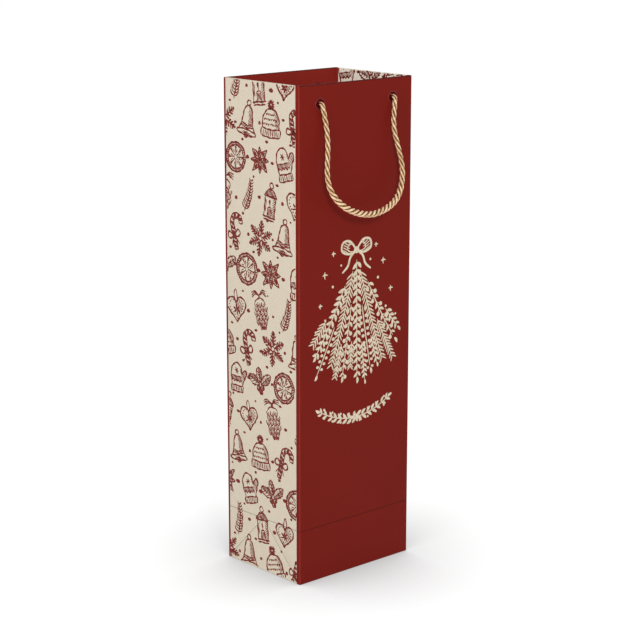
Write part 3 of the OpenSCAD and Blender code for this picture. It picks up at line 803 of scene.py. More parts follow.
def snow_crystal():
    """Six arms with three pairs of barbs, round a small ring."""
    arm = [*lines(1.3, (0, 1.6, 0, 11)), blot(0, 11.3, 0.9), leaf(0, 2.2, np.pi / 6, 4.2, 1.4)]
    for at, reach in ((4.2, 3.4), (6.6, 3.2), (8.9, 2.2)):
        arm += lines(1.1, *((0, at, side * reach * 0.8, at + reach * 0.75) for side in BOTH))
    return round_middle(arm, 6) + [ring(0, 0, 1.7)]


def fir_twig(length=22, needles=11, reach=5.2, bend=2.2):
    """A bent stem with pairs of needles that shorten towards the tip."""
    def stem(s):
        return bend * np.sin(np.pi * s * 0.8), length * (s - 0.5)
    strokes = [pen(np.stack(stem(np.linspace(0, 1, 6)), 1))]
    for at in (np.arange(needles) + 0.8) / (needles + 0.4):
        (x, y), size = stem(at), reach * (1 - 0.55 * at)
        strokes += lines(0.8, *((x, y, x + side * size * 0.48, y + size * 0.28, x + side * size * 0.78,
                                 y + size * 0.75) for side in BOTH), tip=0.3)
    return strokes


def pine_cone():
    """Rows of scales that overlap like tiles, on a stalk with two tufts of needles."""
    strokes = lines(0.9, (-4.9, 7.3, -3.2, 9, 0, 9.8, 3.2, 9, 4.9, 7.3)) + lines(1.6, (0, 9.4, 0.4, 12.6))
    for row in range(6):
        y = 7.2 - 3.0 * row
        half = 6.4 * np.sqrt(max(0.0, 1 - ((y - 1.2) / 10.2) ** 2))
        x = np.linspace(-half, half, 4 if row in (0, 5) else 5) + (0.5 if row % 2 else -0.3)
        for a, b, m in zip(x[:-1], x[1:], (x[:-1] + x[1:]) / 2):
            strokes += lines(0.8, (a, y, a + 0.2, y - 1.9, m, y - 3.3, b - 0.2, y - 1.9, b, y), tip=0.6)
            strokes += lines(0.7, (m, y - 0.7, m + 0.1, y - 2.4))
    return strokes + lines(0.8, *((0.3, 11.6, side * 3.5, 12.6 + k, side * 7.5, 10.6 + 1.7 * k)
                                  for side in BOTH for k in range(3)), tip=0.2)


def mitten():
    """A knitted mitten with its ribbed cuff, a zigzag band and a small crystal."""
    strokes = lines(1, (-5.2, -6, -6.2, 0, -5.4, 6, -1, 9.6, 3.6, 7.6, 5, 2.4, 6.6, 4.6, 9.2, 5.4, 9.8, 2.4,
                        7.2, -2, 5.4, -6), tip=0.8)
    strokes += lines(1, (-6.2, -6.4, 6.3, -6.4), (-6, -10.6, 6, -10.6))
    strokes += lines(0.9, (-6.2, -6.4, -6, -10.6), (6.3, -6.4, 6, -10.6))
    strokes += lines(0.75, *((x, -7.1, x, -10) for x in np.arange(-4.6, 5, 1.85)))
    zigzag = [(-5.6 + 1.35 * k, -3.8 + 1.7 * (k % 2)) for k in range(9)]
    strokes += lines(0.9, zigzag, curved=False) + lines(0.8, (-6, 0.1, 4.6, 0.1))
    strokes += hatched([*zigzag, (4.8, 0.1), (-6, 0.1)], 1.5, 0.9)
    strokes += hatched((2.4, 7.6, 4.3, 5.6, 5, 2.4, 6.6, 4.6, 9.2, 5.4, 9.8, 2.4, 6.6, -3, 4.8, -1), 0.8)
    return strokes + rays(0.7, -0.4, 4, -2.3, 2.3, 0, np.radians([0, 60, 120]))


def sugar_cane():
    """A striped stick with a hook, tied with a bow."""
    a = np.radians(np.linspace(180, -20, 9))
    hook = np.stack([1.3 + 4.3 * np.cos(a), 5 + 4.3 * np.sin(a)], 1)
    line = through(np.vstack([[[-3, -11.5], [-3, -4], [-3, 3]], hook]), 1)
    aside = beside(line)
    strokes = [pen((line + side * 1.65 * aside)[::2], 0.9, tip=0.9) for side in BOTH]
    strokes += [pen([line[k] - 1.65 * aside[k], line[k] + 1.65 * aside[k]], 0.9) for k in (0, -1)]
    strokes += [pen([line[k] - 1.4 * aside[k], line[k + 2] + 1.4 * aside[k + 2]], 1.8, tip=0.8)
                for k in range(1, len(line) - 3, 3)]
    for side in BOTH:
        strokes += lines(1.1, (-3, -2.5, -3 + side * 4.5, 0.6, -3 + side * 6, -1.8, -3 + side * 4, -3.8, -3, -2.5))
        strokes += lines(0.8, (-3, -2.8, -3 + side * 2, -5.6, -3 + side * 3.6, -8.6))
    return strokes


def holly():
    """Three leaves with points, their veins, and three berries."""
    s = np.linspace(0, 1, 13)
    edge = 3.6 * np.sin(np.pi * s) ** 0.7 * (0.72 + 0.28 * np.cos(6 * np.pi * s) ** 2)
    one = [pen(np.stack([side * edge, 12.5 * s], 1), 0.9, curved=False, tip=0.9) for side in BOTH]
    one += lines(0.7, (0, 0.3, 0, 12))
    one += lines(0.6, *((0, y, side * 1.9, y + 1.6) for y in (3, 5.4, 7.8) for side in BOTH))
    one += hatched(np.vstack([np.stack([edge, 12.5 * s], 1), [[0, 12.5], [0, 0]]]), 0.7, 0.95)
    strokes = moved(one, 0.8, -1, -1.05) + moved(one, -0.8, -1, 1.0) + moved(one, 0, 0.4, 0.04, 0.86)
    for x, y in ((-1.8, -3.6), (1.9, -3.4), (0.1, -6.2)):
        strokes += [ring(x, y, 1.7), blot(x + 0.3, y - 0.2, 1.1)]
    return strokes


def hand_bell():
    """A bell with its band, clapper and shaded side, hung on a loop."""
    side = np.array([[0, 9.4], [2.6, 8.2], [4, 4.6], [4.9, -0.6], [6.6, -4.8], [9, -7]])
    strokes = [pen(side * [flip, 1], tip=0.8) for flip in (1, -1)]
    strokes += [ring(0, -7, 9, 0.95, 0.2), ring(0, -8.4, 1.7, 0.9), blot(0, -8.6, 0.9), ring(0, 11, 1.7, 0.9)]
    strokes += lines(0.8, (-5.6, -3.2, 0, -4.4, 5.6, -3.2), (-5, -1.4, 0, -2.5, 5, -1.4))
    strokes += hatched((0.4, 8.8, 2.6, 8, 4, 4.6, 5, -1.4, 1, -2.3), 1.25, 0.95)
    strokes += hatched((-5.6, -3.2, 0, -4.4, 5.6, -3.2, 5, -1.4, 0, -2.5, -5, -1.4), 0.5, 0.95, 0.6)
    return strokes + hatched((-6.6, -7.6, 0, -6.4, 6.6, -7.6, 0, -8.7), 0.1, 0.8)


def woolly_hat():
    """A knitted hat: ribbed brim, rows of stitches and a bobble."""
    strokes = lines(1, (-7.6, -4, -7.4, 1.6, -4.4, 6.2, 0, 7.6, 4.4, 6.2, 7.4, 1.6, 7.6, -4), tip=0.8)
    strokes += lines(1, (-8.6, -4.2, 0, -5, 8.6, -4.2), (-8.6, -9, 0, -9.8, 8.6, -9))
    strokes += lines(0.9, (-8.6, -4.2, -8.9, -6.6, -8.6, -9), (8.6, -4.2, 8.9, -6.6, 8.6, -9))
    strokes += lines(0.75, *((x, -5.4, x, -8.9) for x in np.arange(-6.8, 7, 1.7)))
    strokes += lines(0.7, *((x + side * 0.75, y + 0.9, x, y - 0.4)
                            for y, half in ((-2.2, 6.2), (0.8, 5.6), (3.8, 4))
                            for x in np.arange(-half, half + 0.1, 2.05) for side in BOTH))
    strokes += rays(1.1, 0, 10, 0.6, 3.3, 0.3, whole_turn(12))
    return strokes + hatched((2.2, 6.6, 5.2, 5.4, 7.4, 1.6, 7.6, -3.8, 4.6, -4.2), 1.2)


def heart_biscuit():
    """An iced heart on a thread: 16 sin^3 t across and 13 cos t - 5 cos 2t - 2 cos 3t - cos 4t up, in shares."""
    t = np.linspace(0, 2 * np.pi, 25)
    heart = np.stack([16 * np.sin(t) ** 3,
                      13 * np.cos(t) - 5 * np.cos(2 * t) - 2 * np.cos(3 * t) - np.cos(4 * t)], 1)
    strokes = [pen(heart * 0.55, 1.1, tip=1), *lines(0.7, (0, 3.2, -1.5, 7.5, 0, 11.6, 1.5, 7.5, 0, 3.2))]
    inner = through(heart * 0.41, 1)
    strokes += [pen(inner[k : k + 2]) for k in range(0, len(inner) - 1, 2)] + hatched(heart[:13] * 0.38, 1.1, 1.15)
    return strokes + [leaf(0, -1, a + 0.5, 3.6, 1.3) for a in whole_turn(6)]


def lantern():
    """A four-sided lantern with a lit candle."""
    strokes = lines(1, (-5, -9, -5, 4), (5, -9, 5, 4)) + lines(1.2, (-6.2, -9.2, 6.2, -9.2))
    strokes += lines(1, (-5.6, -11, 5.6, -11)) + lines(1.2, (-6.4, 4.2, 6.4, 4.2)) + [ring(0, 11.4, 1.8, 0.9)]
    strokes += lines(1, (-6.2, 4.6, -2.4, 8.6), (6.2, 4.6, 2.4, 8.6), (-2.6, 8.8, 2.6, 8.8))
    strokes += lines(0.8, (-1.8, -8.6, -1.8, -3.2), (1.8, -8.6, 1.8, -3.2), (-1.8, -3.2, 0, -2.6, 1.8, -3.2))
    strokes += [*lines(0.6, (0, -2.4, 0, -1.2)), leaf(0, -1.5, np.pi / 2, 4.2, 1.7)]
    strokes += hatched((-6.2, 4.6, -2.4, 8.6, 2.4, 8.6, 6.2, 4.6), 0.15, 0.85, 0.55)
    strokes += hatched((2.4, -8.6, 2.4, 4, 4.8, 4, 4.8, -8.6), 0.8)
    strokes += hatched((-1.6, -8.4, -1.6, -3.6, 1.6, -3.6, 1.6, -8.4), 1.4, 0.8)
    return strokes + lines(0.6, (-3.9, -6, -3.9, 1.5))


def citrus_slice():
    """A dried slice: rind, pith and eight cells with their seeds."""
    strokes = [ring(0, 0, 9.6, 1.2), ring(0, 0, 8, 0.7)] + rays(0.6, 0, 0, 8.1, 9.4, 0.1, whole_turn(36))
    cell = lines(0.75, (0.9, 0.5, 6.8, 2.3, 7.4, 0, 6.8, -2.3, 0.9, -0.5)) + [leaf(3, 0, 0.1, 2.4, 0.8)]
    return strokes + round_middle(cell + lines(0.5, (5.2, 1.2, 6.4, 1.4)), 8, 0.2)


def star_anise():
    """Eight boat-shaped pods round a middle, each with its seed."""
    pod = lines(0.9, *((1.4, 0, 4.6, side * 1.9, 8, side, 10.6, 0) for side in (1, -1)))
    pod += [leaf(3.2, 0, 0, 4.8, 1.7)] + hatched((1.4, 0, 4.6, -1.9, 8, -1, 10.6, 0), 0.9, 0.9)
    return round_middle(pod, 8, 0.15, (0.86, 1.0)) + [blot(0, 0, 1.3)]


MOTIFS = (snow_crystal, mitten, pine_cone, hand_bell, holly, fir_twig, woolly_hat, citrus_slice, lantern,
          sugar_cane, star_anise, heart_biscuit)


def scattered(style, low, high, phase):
    """Motifs in staggered rows from low to high, each turned a little, with dots in the gaps between them."""
    random = np.random.default_rng(style.seed + phase)
    row_pitch, column_pitch = style.row_pitch / MM, style.column_pitch / MM
    strokes = []
    for i, y in enumerate(np.arange(low[1] + 7, high[1] + 12, row_pitch)):
        start = low[0] - 4 + (0.5 * column_pitch if (i + phase) % 2 else 0)
        for j, x in enumerate(np.arange(start, high[0] + 12, column_pitch)):
            x, y_here = x + random.uniform(-1.5, 1.5), y + random.uniform(-2.2, 2.2)
            # Steps of 5 and 3 through the motifs keep like ones apart
            motif = MOTIFS[(5 * i + 3 * j + phase) % len(MOTIFS)]()
            strokes += moved(motif, x, y_here, random.uniform(-0.28, 0.28), random.uniform(1.18, 1.32))
            strokes.append(blot(x + 0.5 * column_pitch, y_here + random.uniform(-3, 3), random.uniform(1.1, 1.7)))
            strokes.append(blot(x + 0.28 * column_pitch, y_here + 0.5 * row_pitch, random.uniform(0.8, 1.2)))
    return clipped(wobbled(strokes, phase), low, high)


def wobbled(strokes, phase):
    """The unsteady hand: points shifted by 0.2 mm sines of the other coordinate, and widths by a quarter."""
    out = []
    for p, w in strokes:
        x, y = p.T
        shift = 0.2 * np.stack([np.sin(0.9 * y + 0.35 * x + phase), np.sin(0.8 * x - 0.4 * y + 2 * phase)], 1)
        out.append((p + shift, w * (1 + 0.25 * np.sin(1.1 * x + 0.8 * y + phase))))
    return out


def clipped(strokes, low, high):
    """The parts of the strokes whose points lie between low and high."""
    kept = []
    for points, widths in strokes:
        inside = np.all((points > low) & (points < high), axis=1)
        cuts = np.flatnonzero(np.diff(inside.astype(int))) + 1
        kept += [(p, w) for p, w, k in zip(*(np.split(v, cuts) for v in (points, widths, inside)))
                 if k[0] and len(p) > 1]
    return kept


def bough(tie, lean, start, end):
    """Points, 1 mm apart, of a stem that hangs from a tie. At a distance r from the tie it leans out from straight
    down by lean times 0.85 + 0.3 r / 110 mm."""
    r = np.arange(start, end, 1.0)
    lean = lean * (0.85 + 0.3 * r / 110)
    return np.array(tie) + np.stack([r * np.sin(lean), -r * np.cos(lean)], 1)


# What grows on a stem: its pitch, the angle at which it stands out, and how far its stalk or needle reaches
GROWTHS = {"needles": (3.5, 0.72, 7.4), "leaves": (5.6, 0.72, 0), "rounds": (5.8, 1.02, 4.0),
           "berries": (6.2, 0.72, 4.8)}


def dressed(kind, line, size=1.0):
    """A stem with what grows on it: needles, leaves or rounds in pairs, or berries on stalks between leaves."""
    pitch, angle, reach = GROWTHS[kind]
    strokes = [pen(line[::4])]
    slope = np.gradient(line, axis=0)
    heading = np.arctan2(slope[:, 1], slope[:, 0])
    for k, at in enumerate(np.arange(2.5, len(line) - 2, pitch * size).astype(int)):
        shrink = size * (1 - 0.25 * at / len(line))
        for side in BOTH:
            a = heading[at] + side * angle
            end = line[at] + reach * (size if kind == "berries" else shrink) * np.array([np.cos(a), np.sin(a)])
            if kind == "needles":
                strokes.append(pen([line[at], end], 1.2, tip=0.5, step=2.5))
            elif kind == "leaves":
                strokes.append(leaf(*line[at], a, 7.2 * shrink, 3.0 * shrink))
            elif kind == "rounds":
                strokes.append(blot(*end, 2.0 * shrink, 0.8))
            elif (k % 2) * 2 - 1 == side:
                strokes += [pen([line[at], end], 0.8, step=2), blot(*end, 1.8 * size)]
            else:
                strokes.append(leaf(*line[at], a, 6.4 * shrink, 2.6 * shrink))
    return strokes + ([] if kind == "needles" else [leaf(*line[-1], heading[-1], 6 * size, 2.6 * size)])


def spray():
    """Boughs of fir, leaves, rounds and berries that hang from a bow in a fan, with stars beside it. Shorter
    boughs fill the fan where it widens."""
    tie = (0.5, 266.5)
    strokes = []
    # Lean in degrees, start and end in millimetres from the tie, what grows there, and its size
    for lean, start, end, kind, size in (
        (0.5, 8, 105, "leaves", 1.0), (-15, 17, 97, "needles", 1.0), (15.5, 17, 99, "needles", 1.0),
        (-26, 30, 91, "leaves", 1.0), (26, 30, 90, "berries", 1.0), (-7.5, 44, 103, "berries", 0.95),
        (8, 46, 101, "rounds", 0.95), (-21, 64, 105, "rounds", 0.9), (-11.3, 76, 106, "needles", 0.75),
        (-3.5, 74, 98, "needles", 0.75), (4.4, 76, 109, "leaves", 0.75), (12, 74, 99, "leaves", 0.8),
        (20.7, 64, 104, "needles", 0.9), (-31, 62, 86, "needles", 0.9), (31, 62, 84, "leaves", 0.9),
    ):
        strokes += dressed(kind, bough(tie, np.radians(lean), start, end), size)
    for x, y, size in ((-33, 250, 3.2), (30, 254, 3.0), (-38, 226, 2.4), (38.5, 230, 2.6), (22, 268, 2.2),
                       (-24, 266, 2.4)):
        strokes += [leaf(x - size, y, 0, 2 * size, 1.3), leaf(x, y - size, np.pi / 2, 2 * size, 1.3)]
    strokes += [blot(*dot) for dot in ((-25, 240, 1.1), (24, 241, 1.2), (-33, 214, 1.0), (33, 216, 1.1),
                                       (-43, 206, 1.0), (44, 208, 0.9), (-16, 256, 0.9), (15.5, 257, 1.0))]
    for side in BOTH:
        loop = np.array([[0, 0], [7, 7.5], [14.5, 7], [15.5, 0.5], [8, -2.6], [0, 0]]) * [side, 1]
        tail = np.array([[0, 0], [6.5, -5], [9.5, -12], [15.5, -17]]) * [side, 1]
        strokes += [(p + tie, w) for p, w in (pen(loop, 1.8, tip=0.8), pen(tail, 1.9, tip=0.5),
                                              pen(loop * 0.6 + [0, 0.4], 0.9))]
        strokes += moved(hatched(loop[1:5] * 0.96, side * 0.5, 1.9, 0.8), *tie)
    return strokes + [blot(*tie, 2.8)]


def swag():
    """A small garland under the spray: an arc with pairs of leaves, berries and a star in its middle."""
    x = np.linspace(-38, 36, 75)
    arc = np.stack([x, 140 - 11 * (1 - (x / 38) ** 2)], 1)
    strokes = []
    for line in (arc[38:], arc[36::-1]):
        strokes += dressed("leaves", line, 0.95)
        strokes += [blot(*(p + [0, side * 3.6]), 1.0) for p in line[5::9] for side in BOTH]
    return strokes + [leaf(-0.5, 129, np.pi / 2 + a, 5.4, 2.8) for a in whole_turn(5)]


# The way across to the right as it is seen, the normal, and the distance from the middle, for each printed face
WALLS = {
    "front": ((1, 0, 0), (0, -1, 0), HALF_D),
    "back": ((-1, 0, 0), (0, 1, 0), HALF_D),
    "left": ((0, -1, 0), (-1, 0, 0), HALF_W),
    "right": ((0, 1, 0), (1, 0, 0), HALF_W),
}


def inked(sheet, style, wall, strokes, pen_width=1.0, inset=None):
    """Closed ribbons of ink on a wall. A point (x, y) on the flat panel goes to half n + x a + y up, where n is
    the wall's normal and a its way across, bowed with the wall. A ribbon is as wide as its stroke, and reaches
    from under the sheet's face to ink_lift over it. An inset turns the face round, for the hem's inner ply."""
    across, normal, half = (np.array(v) for v in WALLS[wall])
    flip = 1 if inset is None else -1
    parts = []
    for number, (points, widths) in enumerate(strokes):
        aside = beside(points) * (widths * pen_width / 2)[:, None]
        x, y = np.split(np.stack([points + side * aside for side in (-1, 1, 1, -1)], 1) * MM, 2, axis=2)
        # Each stroke is a hair higher than the one before, so that crossing strokes don't share a face
        under, top = -1.5 * style.ink_lift, style.ink_lift * (1 + 0.15 * (number % 7))
        lift = flip * np.array([under, under, top, top])[:, None]
        if inset is None:
            lift = lift + wave(sheet, normal[0], (x * across).sum(-1), y[..., 0])[..., None]
        place = x * flip * across + y * [0, 0, 1] + (half - (inset or 0) + lift) * normal
        parts.append((place, tube_faces(len(points), 4)))
    return joined(parts)


class BOTTLEBAG_OT_camera(bpy.types.Operator):
    """Place the camera at the photographed angle"""

    bl_idname = "bottlebag.camera"
    bl_label = "Camera"

    def execute(self, context):
        studio = context.scene.bottlebag_studio
        turn, tilt = studio.azimuth, studio.elevation
        back = Vector((np.sin(turn) * np.cos(tilt), -np.cos(turn) * np.cos(tilt), np.sin(tilt)))
        # The point looked at is on the view's own axis, 1.5 m in front of the lens
        looked_at = Vector((-0.00545, -0.00662, 0.20476))
        camera = bpy.data.objects.new("camera", bpy.data.cameras.new("camera"))
        camera.data.lens = studio.lens
        camera.data.sensor_width = 36
        camera.data.clip_end = 50
        camera.matrix_world = Matrix.Translation(looked_at + back * studio.distance) @ (
            back.to_track_quat("Z", "Y").to_matrix().to_4x4())
        context.scene.collection.objects.link(camera)
        context.scene.camera = camera
        return {"FINISHED"}


class BOTTLEBAG_OT_handle_ropes(bpy.types.Operator):
    """Lay the two hanging loops, which bend down at their eyelets"""

    bl_idname = "bottlebag.handle_ropes"
    bl_label = "Handle ropes"

    def execute(self, context):
        rope = context.scene.bottlebag_rope
        jute = laid_jute(rope)
        path = loop_path(rope.ring_step)
        step = np.linalg.norm(np.diff(path, axis=0), axis=1)
        length = float(step.sum())
        # On the legs the rope is stretched, with a longer lay, and it swells where it bends
        on_leg = smooth_step((np.abs(np.linspace(-1, 1, len(path))) - 0.2) / 0.35)
        lay = rope.lay_bend + (rope.lay_leg - rope.lay_bend) * on_leg
        # The eyelets squeeze its last 8 mm
        reach = np.r_[0, np.cumsum(step)]
        free = smooth_step(np.minimum(reach, length - reach) / (8 * MM))
        radius = (rope.bend_d + (rope.leg_d - rope.bend_d) * on_leg) / 2 * (0.84 + 0.16 * free)
        points, faces, crown = laid_rope(path, radius, lay, (1, 0, 0))
        # Where it bends the rope is painted lighter, a painted highlight for the more even light on the bend
        crown = crown.reshape(3, len(path), -1) * (1.12 - 0.12 * on_leg)[:, None]
        # Deep in the eyelet the jute is painted dark red, a painted shade for the bore
        deep = 1 - smooth_step((-HALF_D - FLANGE_H - points[:, 1]) / MM)
        for back, place in enumerate(PLACES):
            piece = new_piece(f"{place}_handle_cord", turned(points, back), faces, [jute], body=None,
                              slot="jute_rope", sharp=60, attributes={"crown": crown, "deep": deep})
            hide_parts(f"{place}_handle_rope")
            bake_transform(piece)
        return {"FINISHED"}


class BOTTLEBAG_OT_knots(bpy.types.Operator):
    """Tie the four overhand knots that hold the ropes behind the eyelets"""

    bl_idname = "bottlebag.knots"
    bl_label = "Knots"

    def execute(self, context):
        rope = context.scene.bottlebag_rope
        jute = laid_jute(rope)
        path, radius = overhand_path(rope, rope.ring_step)
        lay = np.full(len(path), rope.lay_bend)
        points, faces, crown = laid_rope(path, radius, lay, (0.3, 0.2, 1), open_ends=0.18)
        # The lobes block the bore, so the side of the knot that shows through it is painted dark too, a painted
        # shade
        blocked = 1 - smooth_step((points[:, 1] - RIM_T - CURL_H - 1.2 * MM) / (1.6 * MM))
        deep = blocked * (1 - smooth_step((np.hypot(points[:, 0], points[:, 2]) - 5.5 * MM) / (2 * MM)))
        for side, back, name in HOLES:
            # A back knot that is turned over stands at the other side
            place = [side * HOLE_X * (1 - 2 * back), -HALF_D, HOLE_Z]
            piece = new_piece(f"{name}_overhand_knot", turned(points + place, back), faces, [jute],
                              slot="jute_rope", sharp=60, attributes={"crown": crown, "deep": deep})
            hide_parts(f"{name}_knot")
        return {"FINISHED"}


class BOTTLEBAG_OT_sheet(bpy.types.Operator):
    """Fold the printed sheet: four walls, their creases and pressed lines, and the hem turned in over the rim"""

    bl_idname = "bottlebag.sheet"
    bl_label = "Printed sheet"

    def execute(self, context):
        sheet = context.scene.bottlebag_sheet
        points, faces, attributes, face_slots = sheet_shell(sheet)
        finishes = [matt_laminated_print(sheet), cream_printed_stock(sheet), uncoated_paper(sheet)]
        piece = new_piece("folded_sheet", points, faces, finishes, slot="red_paper",
                          attributes=attributes, face_slots=face_slots)
        cut_holes(piece, BARREL_R + 0.1 * MM)
        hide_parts("front_panel", "back_panel", "left_gusset", "right_gusset", "front_hem", "back_hem",
                    "left_hem", "right_hem")
        return {"FINISHED"}


class BOTTLEBAG_OT_folds(bpy.types.Operator):
    """Fold the block bottom and glue the side lap"""

    bl_idname = "bottlebag.folds"
    bl_label = "Bottom folds and lap"

    def execute(self, context):
        sheet = context.scene.bottlebag_sheet
        t = sheet.sheet_t
        red, cream, bare = (bpy.data.materials[name] for name in (
            "matt laminated red print", "cream printed stock", "uncoated white paper"))
        # The back flap lies on the table, the front one over its two plies, and the tucks over both
        for back, place in enumerate(PLACES):
            points, faces = bottom_flap(sheet, 2 * t * (1 - back))
            piece = new_piece(f"{place}_flap_plies", turned(points, back), faces, [red], slot="red_paper")
            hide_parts(f"bottom_{place}_flap")
        points, faces = side_tuck(sheet, 4 * t)
        for right, side in enumerate(("left", "right")):
            piece = new_piece(f"{side}_tuck_ply", turned(points, right), faces, [cream], slot="cream_paper")
            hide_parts(f"bottom_{side}_tuck")
        # The lap is a strip of the sheet that follows the back panel's inner face as it bows
        up = np.linspace(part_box("bottom_board")[0].z, BAG_H - RIM_T / 2 - CARD_H, 50)[:, None]
        across = np.linspace(HALF_W - sheet.crease_r - sheet.seam_w, HALF_W - sheet.crease_r, 9)
        outer_y = HALF_D - t - 0.01 * MM + wave(sheet, 0, across, up)
        points, faces = plate(np.stack(np.broadcast_arrays(across, outer_y, up), -1), [0, -t, 0])
        piece = new_piece("glued_side_lap", points, faces, [bare], slot="white_paper")
        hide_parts("side_seam_flap")
        return {"FINISHED"}


class BOTTLEBAG_OT_prints(bpy.types.Operator):
    """Print the drawn motifs on the gussets and their hems, and the spray on both wide panels"""

    bl_idname = "bottlebag.prints"
    bl_label = "Prints"

    def execute(self, context):
        sheet, style = context.scene.bottlebag_sheet, context.scene.bottlebag_print
        red = offset_ink("dark red line ink", style.line_ink, style.line_spread)
        cream = offset_ink("cream printed ink", style.spray_ink, style.spray_spread)
        front, back = HALF_D - sheet.front_wrap, HALF_D - sheet.back_wrap
        foot, rim = sheet.crease_r + 0.1 * MM, BAG_H - sheet.sheet_t - 0.1 * MM
        # The motifs are drawn for a pen of 0.9 mm
        width = style.pen / (0.9 * MM)
        for wall, low, high, phase in (("left", -back, front, 0), ("right", -front, back, 5)):
            # The turned-in ply faces the other way and shows another part of the same pattern
            for part, left, right, bottom, more, inset in (
                ("gusset", low, high, foot, 0, None),
                ("hem", -high, -low, BAG_H - HEM_H + 0.5 * MM, 3, 2 * (sheet.sheet_t + FOLD_SLACK)),
            ):
                corners = np.array([left, bottom]) / MM, np.array([right, rim]) / MM
                ribbons = inked(sheet, style, wall, scattered(style, *corners, phase + more), width, inset)
                new_piece(f"{wall}_{part}_print", *ribbons, [red], slot="red_paper", sharp=30)
        for wall in PLACES:
            new_piece(f"{wall}_panel_print", *inked(sheet, style, wall, spray() + swag()), [cream],
                      slot="cream_paper", sharp=30)
        return {"FINISHED"}


class BOTTLEBAG_OT_eyelets(bpy.types.Operator):
    """Set the four enamelled eyelets"""

    bl_idname = "bottlebag.eyelets"
    bl_label = "Eyelets"

    def execute(self, context):
        enamel = enamelled_steel(context.scene.bottlebag_rope)
        points, faces, inside = eyelet()
        for side, back, name in HOLES:
            piece = new_piece(f"{name}_grommet", points * [1, 1 - 2 * back, 1] + [side * HOLE_X, 0, 0], faces,
                              [enamel], slot="eyelet_enamel", sharp=50, attributes={"inside": inside})
            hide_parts(f"{name}_eyelet")
        return {"FINISHED"}


class BOTTLEBAG_OT_boards(bpy.types.Operator):
    """Give the inserted cards and the bottom board their grey board"""

    bl_idname = "bottlebag.boards"
    bl_label = "Boards"

    def execute(self, context):
        board = recycled_grey_board(context.scene.bottlebag_sheet)
        for name in ("front_card", "back_card", "bottom_board"):
            for material_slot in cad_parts[name].material_slots:
                material_slot.material = board
        return {"FINISHED"}


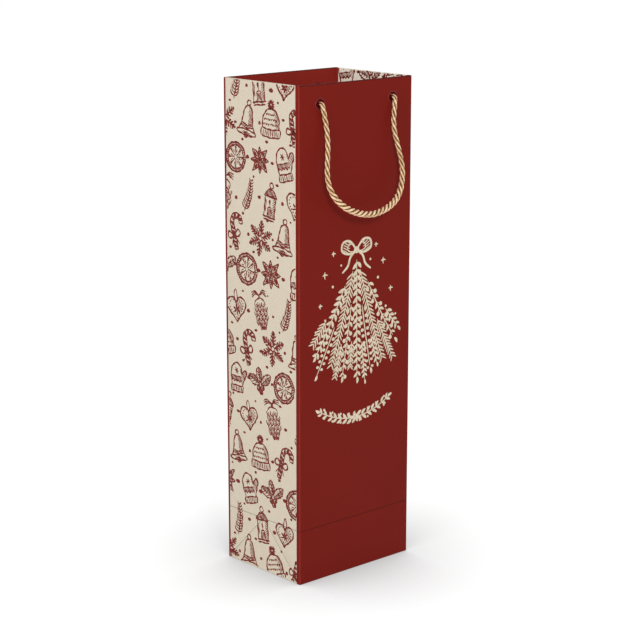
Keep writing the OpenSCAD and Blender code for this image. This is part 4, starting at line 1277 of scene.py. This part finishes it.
class BOTTLEBAG_OT_studio(bpy.types.Operator):
    """Lay the white floor and hang the lamps"""

    bl_idname = "bottlebag.studio"
    bl_label = "Studio"

    def execute(self, context):
        studio = context.scene.bottlebag_studio
        white, floor_white = (1, 1, 1, 1), 0.88
        material, add, _ = new_finish("white floor", (), Base_Color=(floor_white,) * 3 + (1,), Roughness=1,
                                      Specular_IOR_Level=0, Emission_Color=white)
        shader = material.node_tree.nodes["Principled BSDF"].inputs
        rays = add("LightPath").node.outputs
        seen = add("Math", {0: rays["Is Camera Ray"], 1: rays["Is Glossy Ray"]}, operation="MAXIMUM")
        # To the eye alone most of the floor's white is a glow with a painted shade, even and grey, round the foot
        # of the bag, without the red that the panels throw on it
        grey = add("MapRange", {0: seen, 3: floor_white, 4: studio.floor_light})
        material.node_tree.links.new(grey, shader["Base Color"])
        # Painted shadow: ambient occlusion darkens the glow near the bag
        shade = add("AmbientOcclusion", {"Distance": studio.shade_reach}, "AO", samples=24)
        shade = add("Math", {0: shade, 1: 1.1}, operation="POWER")
        # Emission makes up for the light that the grey leaves out, so that the open floor comes out white
        glow = add("Math", {0: shade, 1: 1.024 - 0.5 * studio.floor_light}, operation="MULTIPLY")
        glow = add("Math", {0: glow, 1: seen}, operation="MULTIPLY")
        material.node_tree.links.new(glow, shader["Emission Strength"])
        reach, under = 6.0, -0.05 * MM
        mesh = bpy.data.meshes.new("floor")
        mesh.from_pydata([(x * reach, y * reach, under) for x, y in ((-1, -1), (1, -1), (1, 1), (-1, 1))], [],
                         [(0, 1, 2, 3)])
        mesh.materials.append(material)
        floor = bpy.data.objects.new("floor", mesh)
        context.scene.collection.objects.link(floor)

        world = bpy.data.worlds.new("white surroundings")
        world.use_nodes = True
        tree = world.node_tree
        rays = node(tree, "LightPath").node.outputs
        seen = node(tree, "Math", {0: rays["Is Camera Ray"], 1: rays["Is Transmission Ray"]}, operation="MAXIMUM")
        seen = node(tree, "Math", {0: seen, 1: rays["Is Glossy Ray"]}, operation="MAXIMUM")
        sky = tree.nodes["Background"].inputs
        sky["Color"].default_value = white
        tree.links.new(node(tree, "MapRange", {0: seen, 3: studio.ambient, 4: 1}), sky["Strength"])
        context.scene.world = world

        for name, place, size, power in (
            ("key lamp", (-1.0, -1.75, 1.1), 0.4, studio.key),
            ("fill lamp", (-1.9, -0.5, 0.9), 1.6, studio.fill),
        ):
            lamp = bpy.data.objects.new(name, bpy.data.lights.new(name, "AREA"))
            lamp.data.energy = power
            lamp.data.size = size
            aim = Vector((0, 0, BAG_H / 2)) - Vector(place)
            lamp.matrix_world = Matrix.Translation(place) @ aim.to_track_quat("-Z", "Y").to_matrix().to_4x4()
            context.scene.collection.objects.link(lamp)
        context.scene.view_settings.view_transform = "Standard"
        return {"FINISHED"}


class BOTTLEBAG_PT_panel(bpy.types.Panel):
    bl_idname = "BOTTLEBAG_PT_panel"
    bl_label = "Bottle bag"
    bl_space_type = "VIEW_3D"
    bl_region_type = "UI"
    bl_category = "Bottle bag"

    def draw(self, context):
        for group in SETTINGS:
            settings, box = getattr(context.scene, group), self.layout.box()
            for name in settings.bl_rna.properties.keys():
                if name not in {"rna_type", "name"}:
                    box.prop(settings, name)
        for operator in OPERATORS:
            self.layout.operator(operator.bl_idname)


OPERATORS = (
    BOTTLEBAG_OT_camera,
    BOTTLEBAG_OT_handle_ropes,
    BOTTLEBAG_OT_knots,
    BOTTLEBAG_OT_sheet,
    BOTTLEBAG_OT_folds,
    BOTTLEBAG_OT_prints,
    BOTTLEBAG_OT_eyelets,
    BOTTLEBAG_OT_boards,
    BOTTLEBAG_OT_studio,
)
SETTINGS = {
    "bottlebag_sheet": SheetSettings,
    "bottlebag_print": PrintSettings,
    "bottlebag_rope": RopeSettings,
    "bottlebag_studio": StudioSettings,
}
CLASSES = (*SETTINGS.values(), *OPERATORS, BOTTLEBAG_PT_panel)


def register():
    for cls in CLASSES:
        bpy.utils.register_class(cls)
    for name, group in SETTINGS.items():
        setattr(bpy.types.Scene, name, PointerProperty(type=group))


def unregister():
    for name in SETTINGS:
        delattr(bpy.types.Scene, name)
    for cls in reversed(CLASSES):
        bpy.utils.unregister_class(cls)


def main():
    """Makes every piece in order."""
    register()
    for operator in OPERATORS:
        group, name = operator.bl_idname.split(".")
        getattr(getattr(bpy.ops, group), name)()


if __name__ == "__main__":
    main()
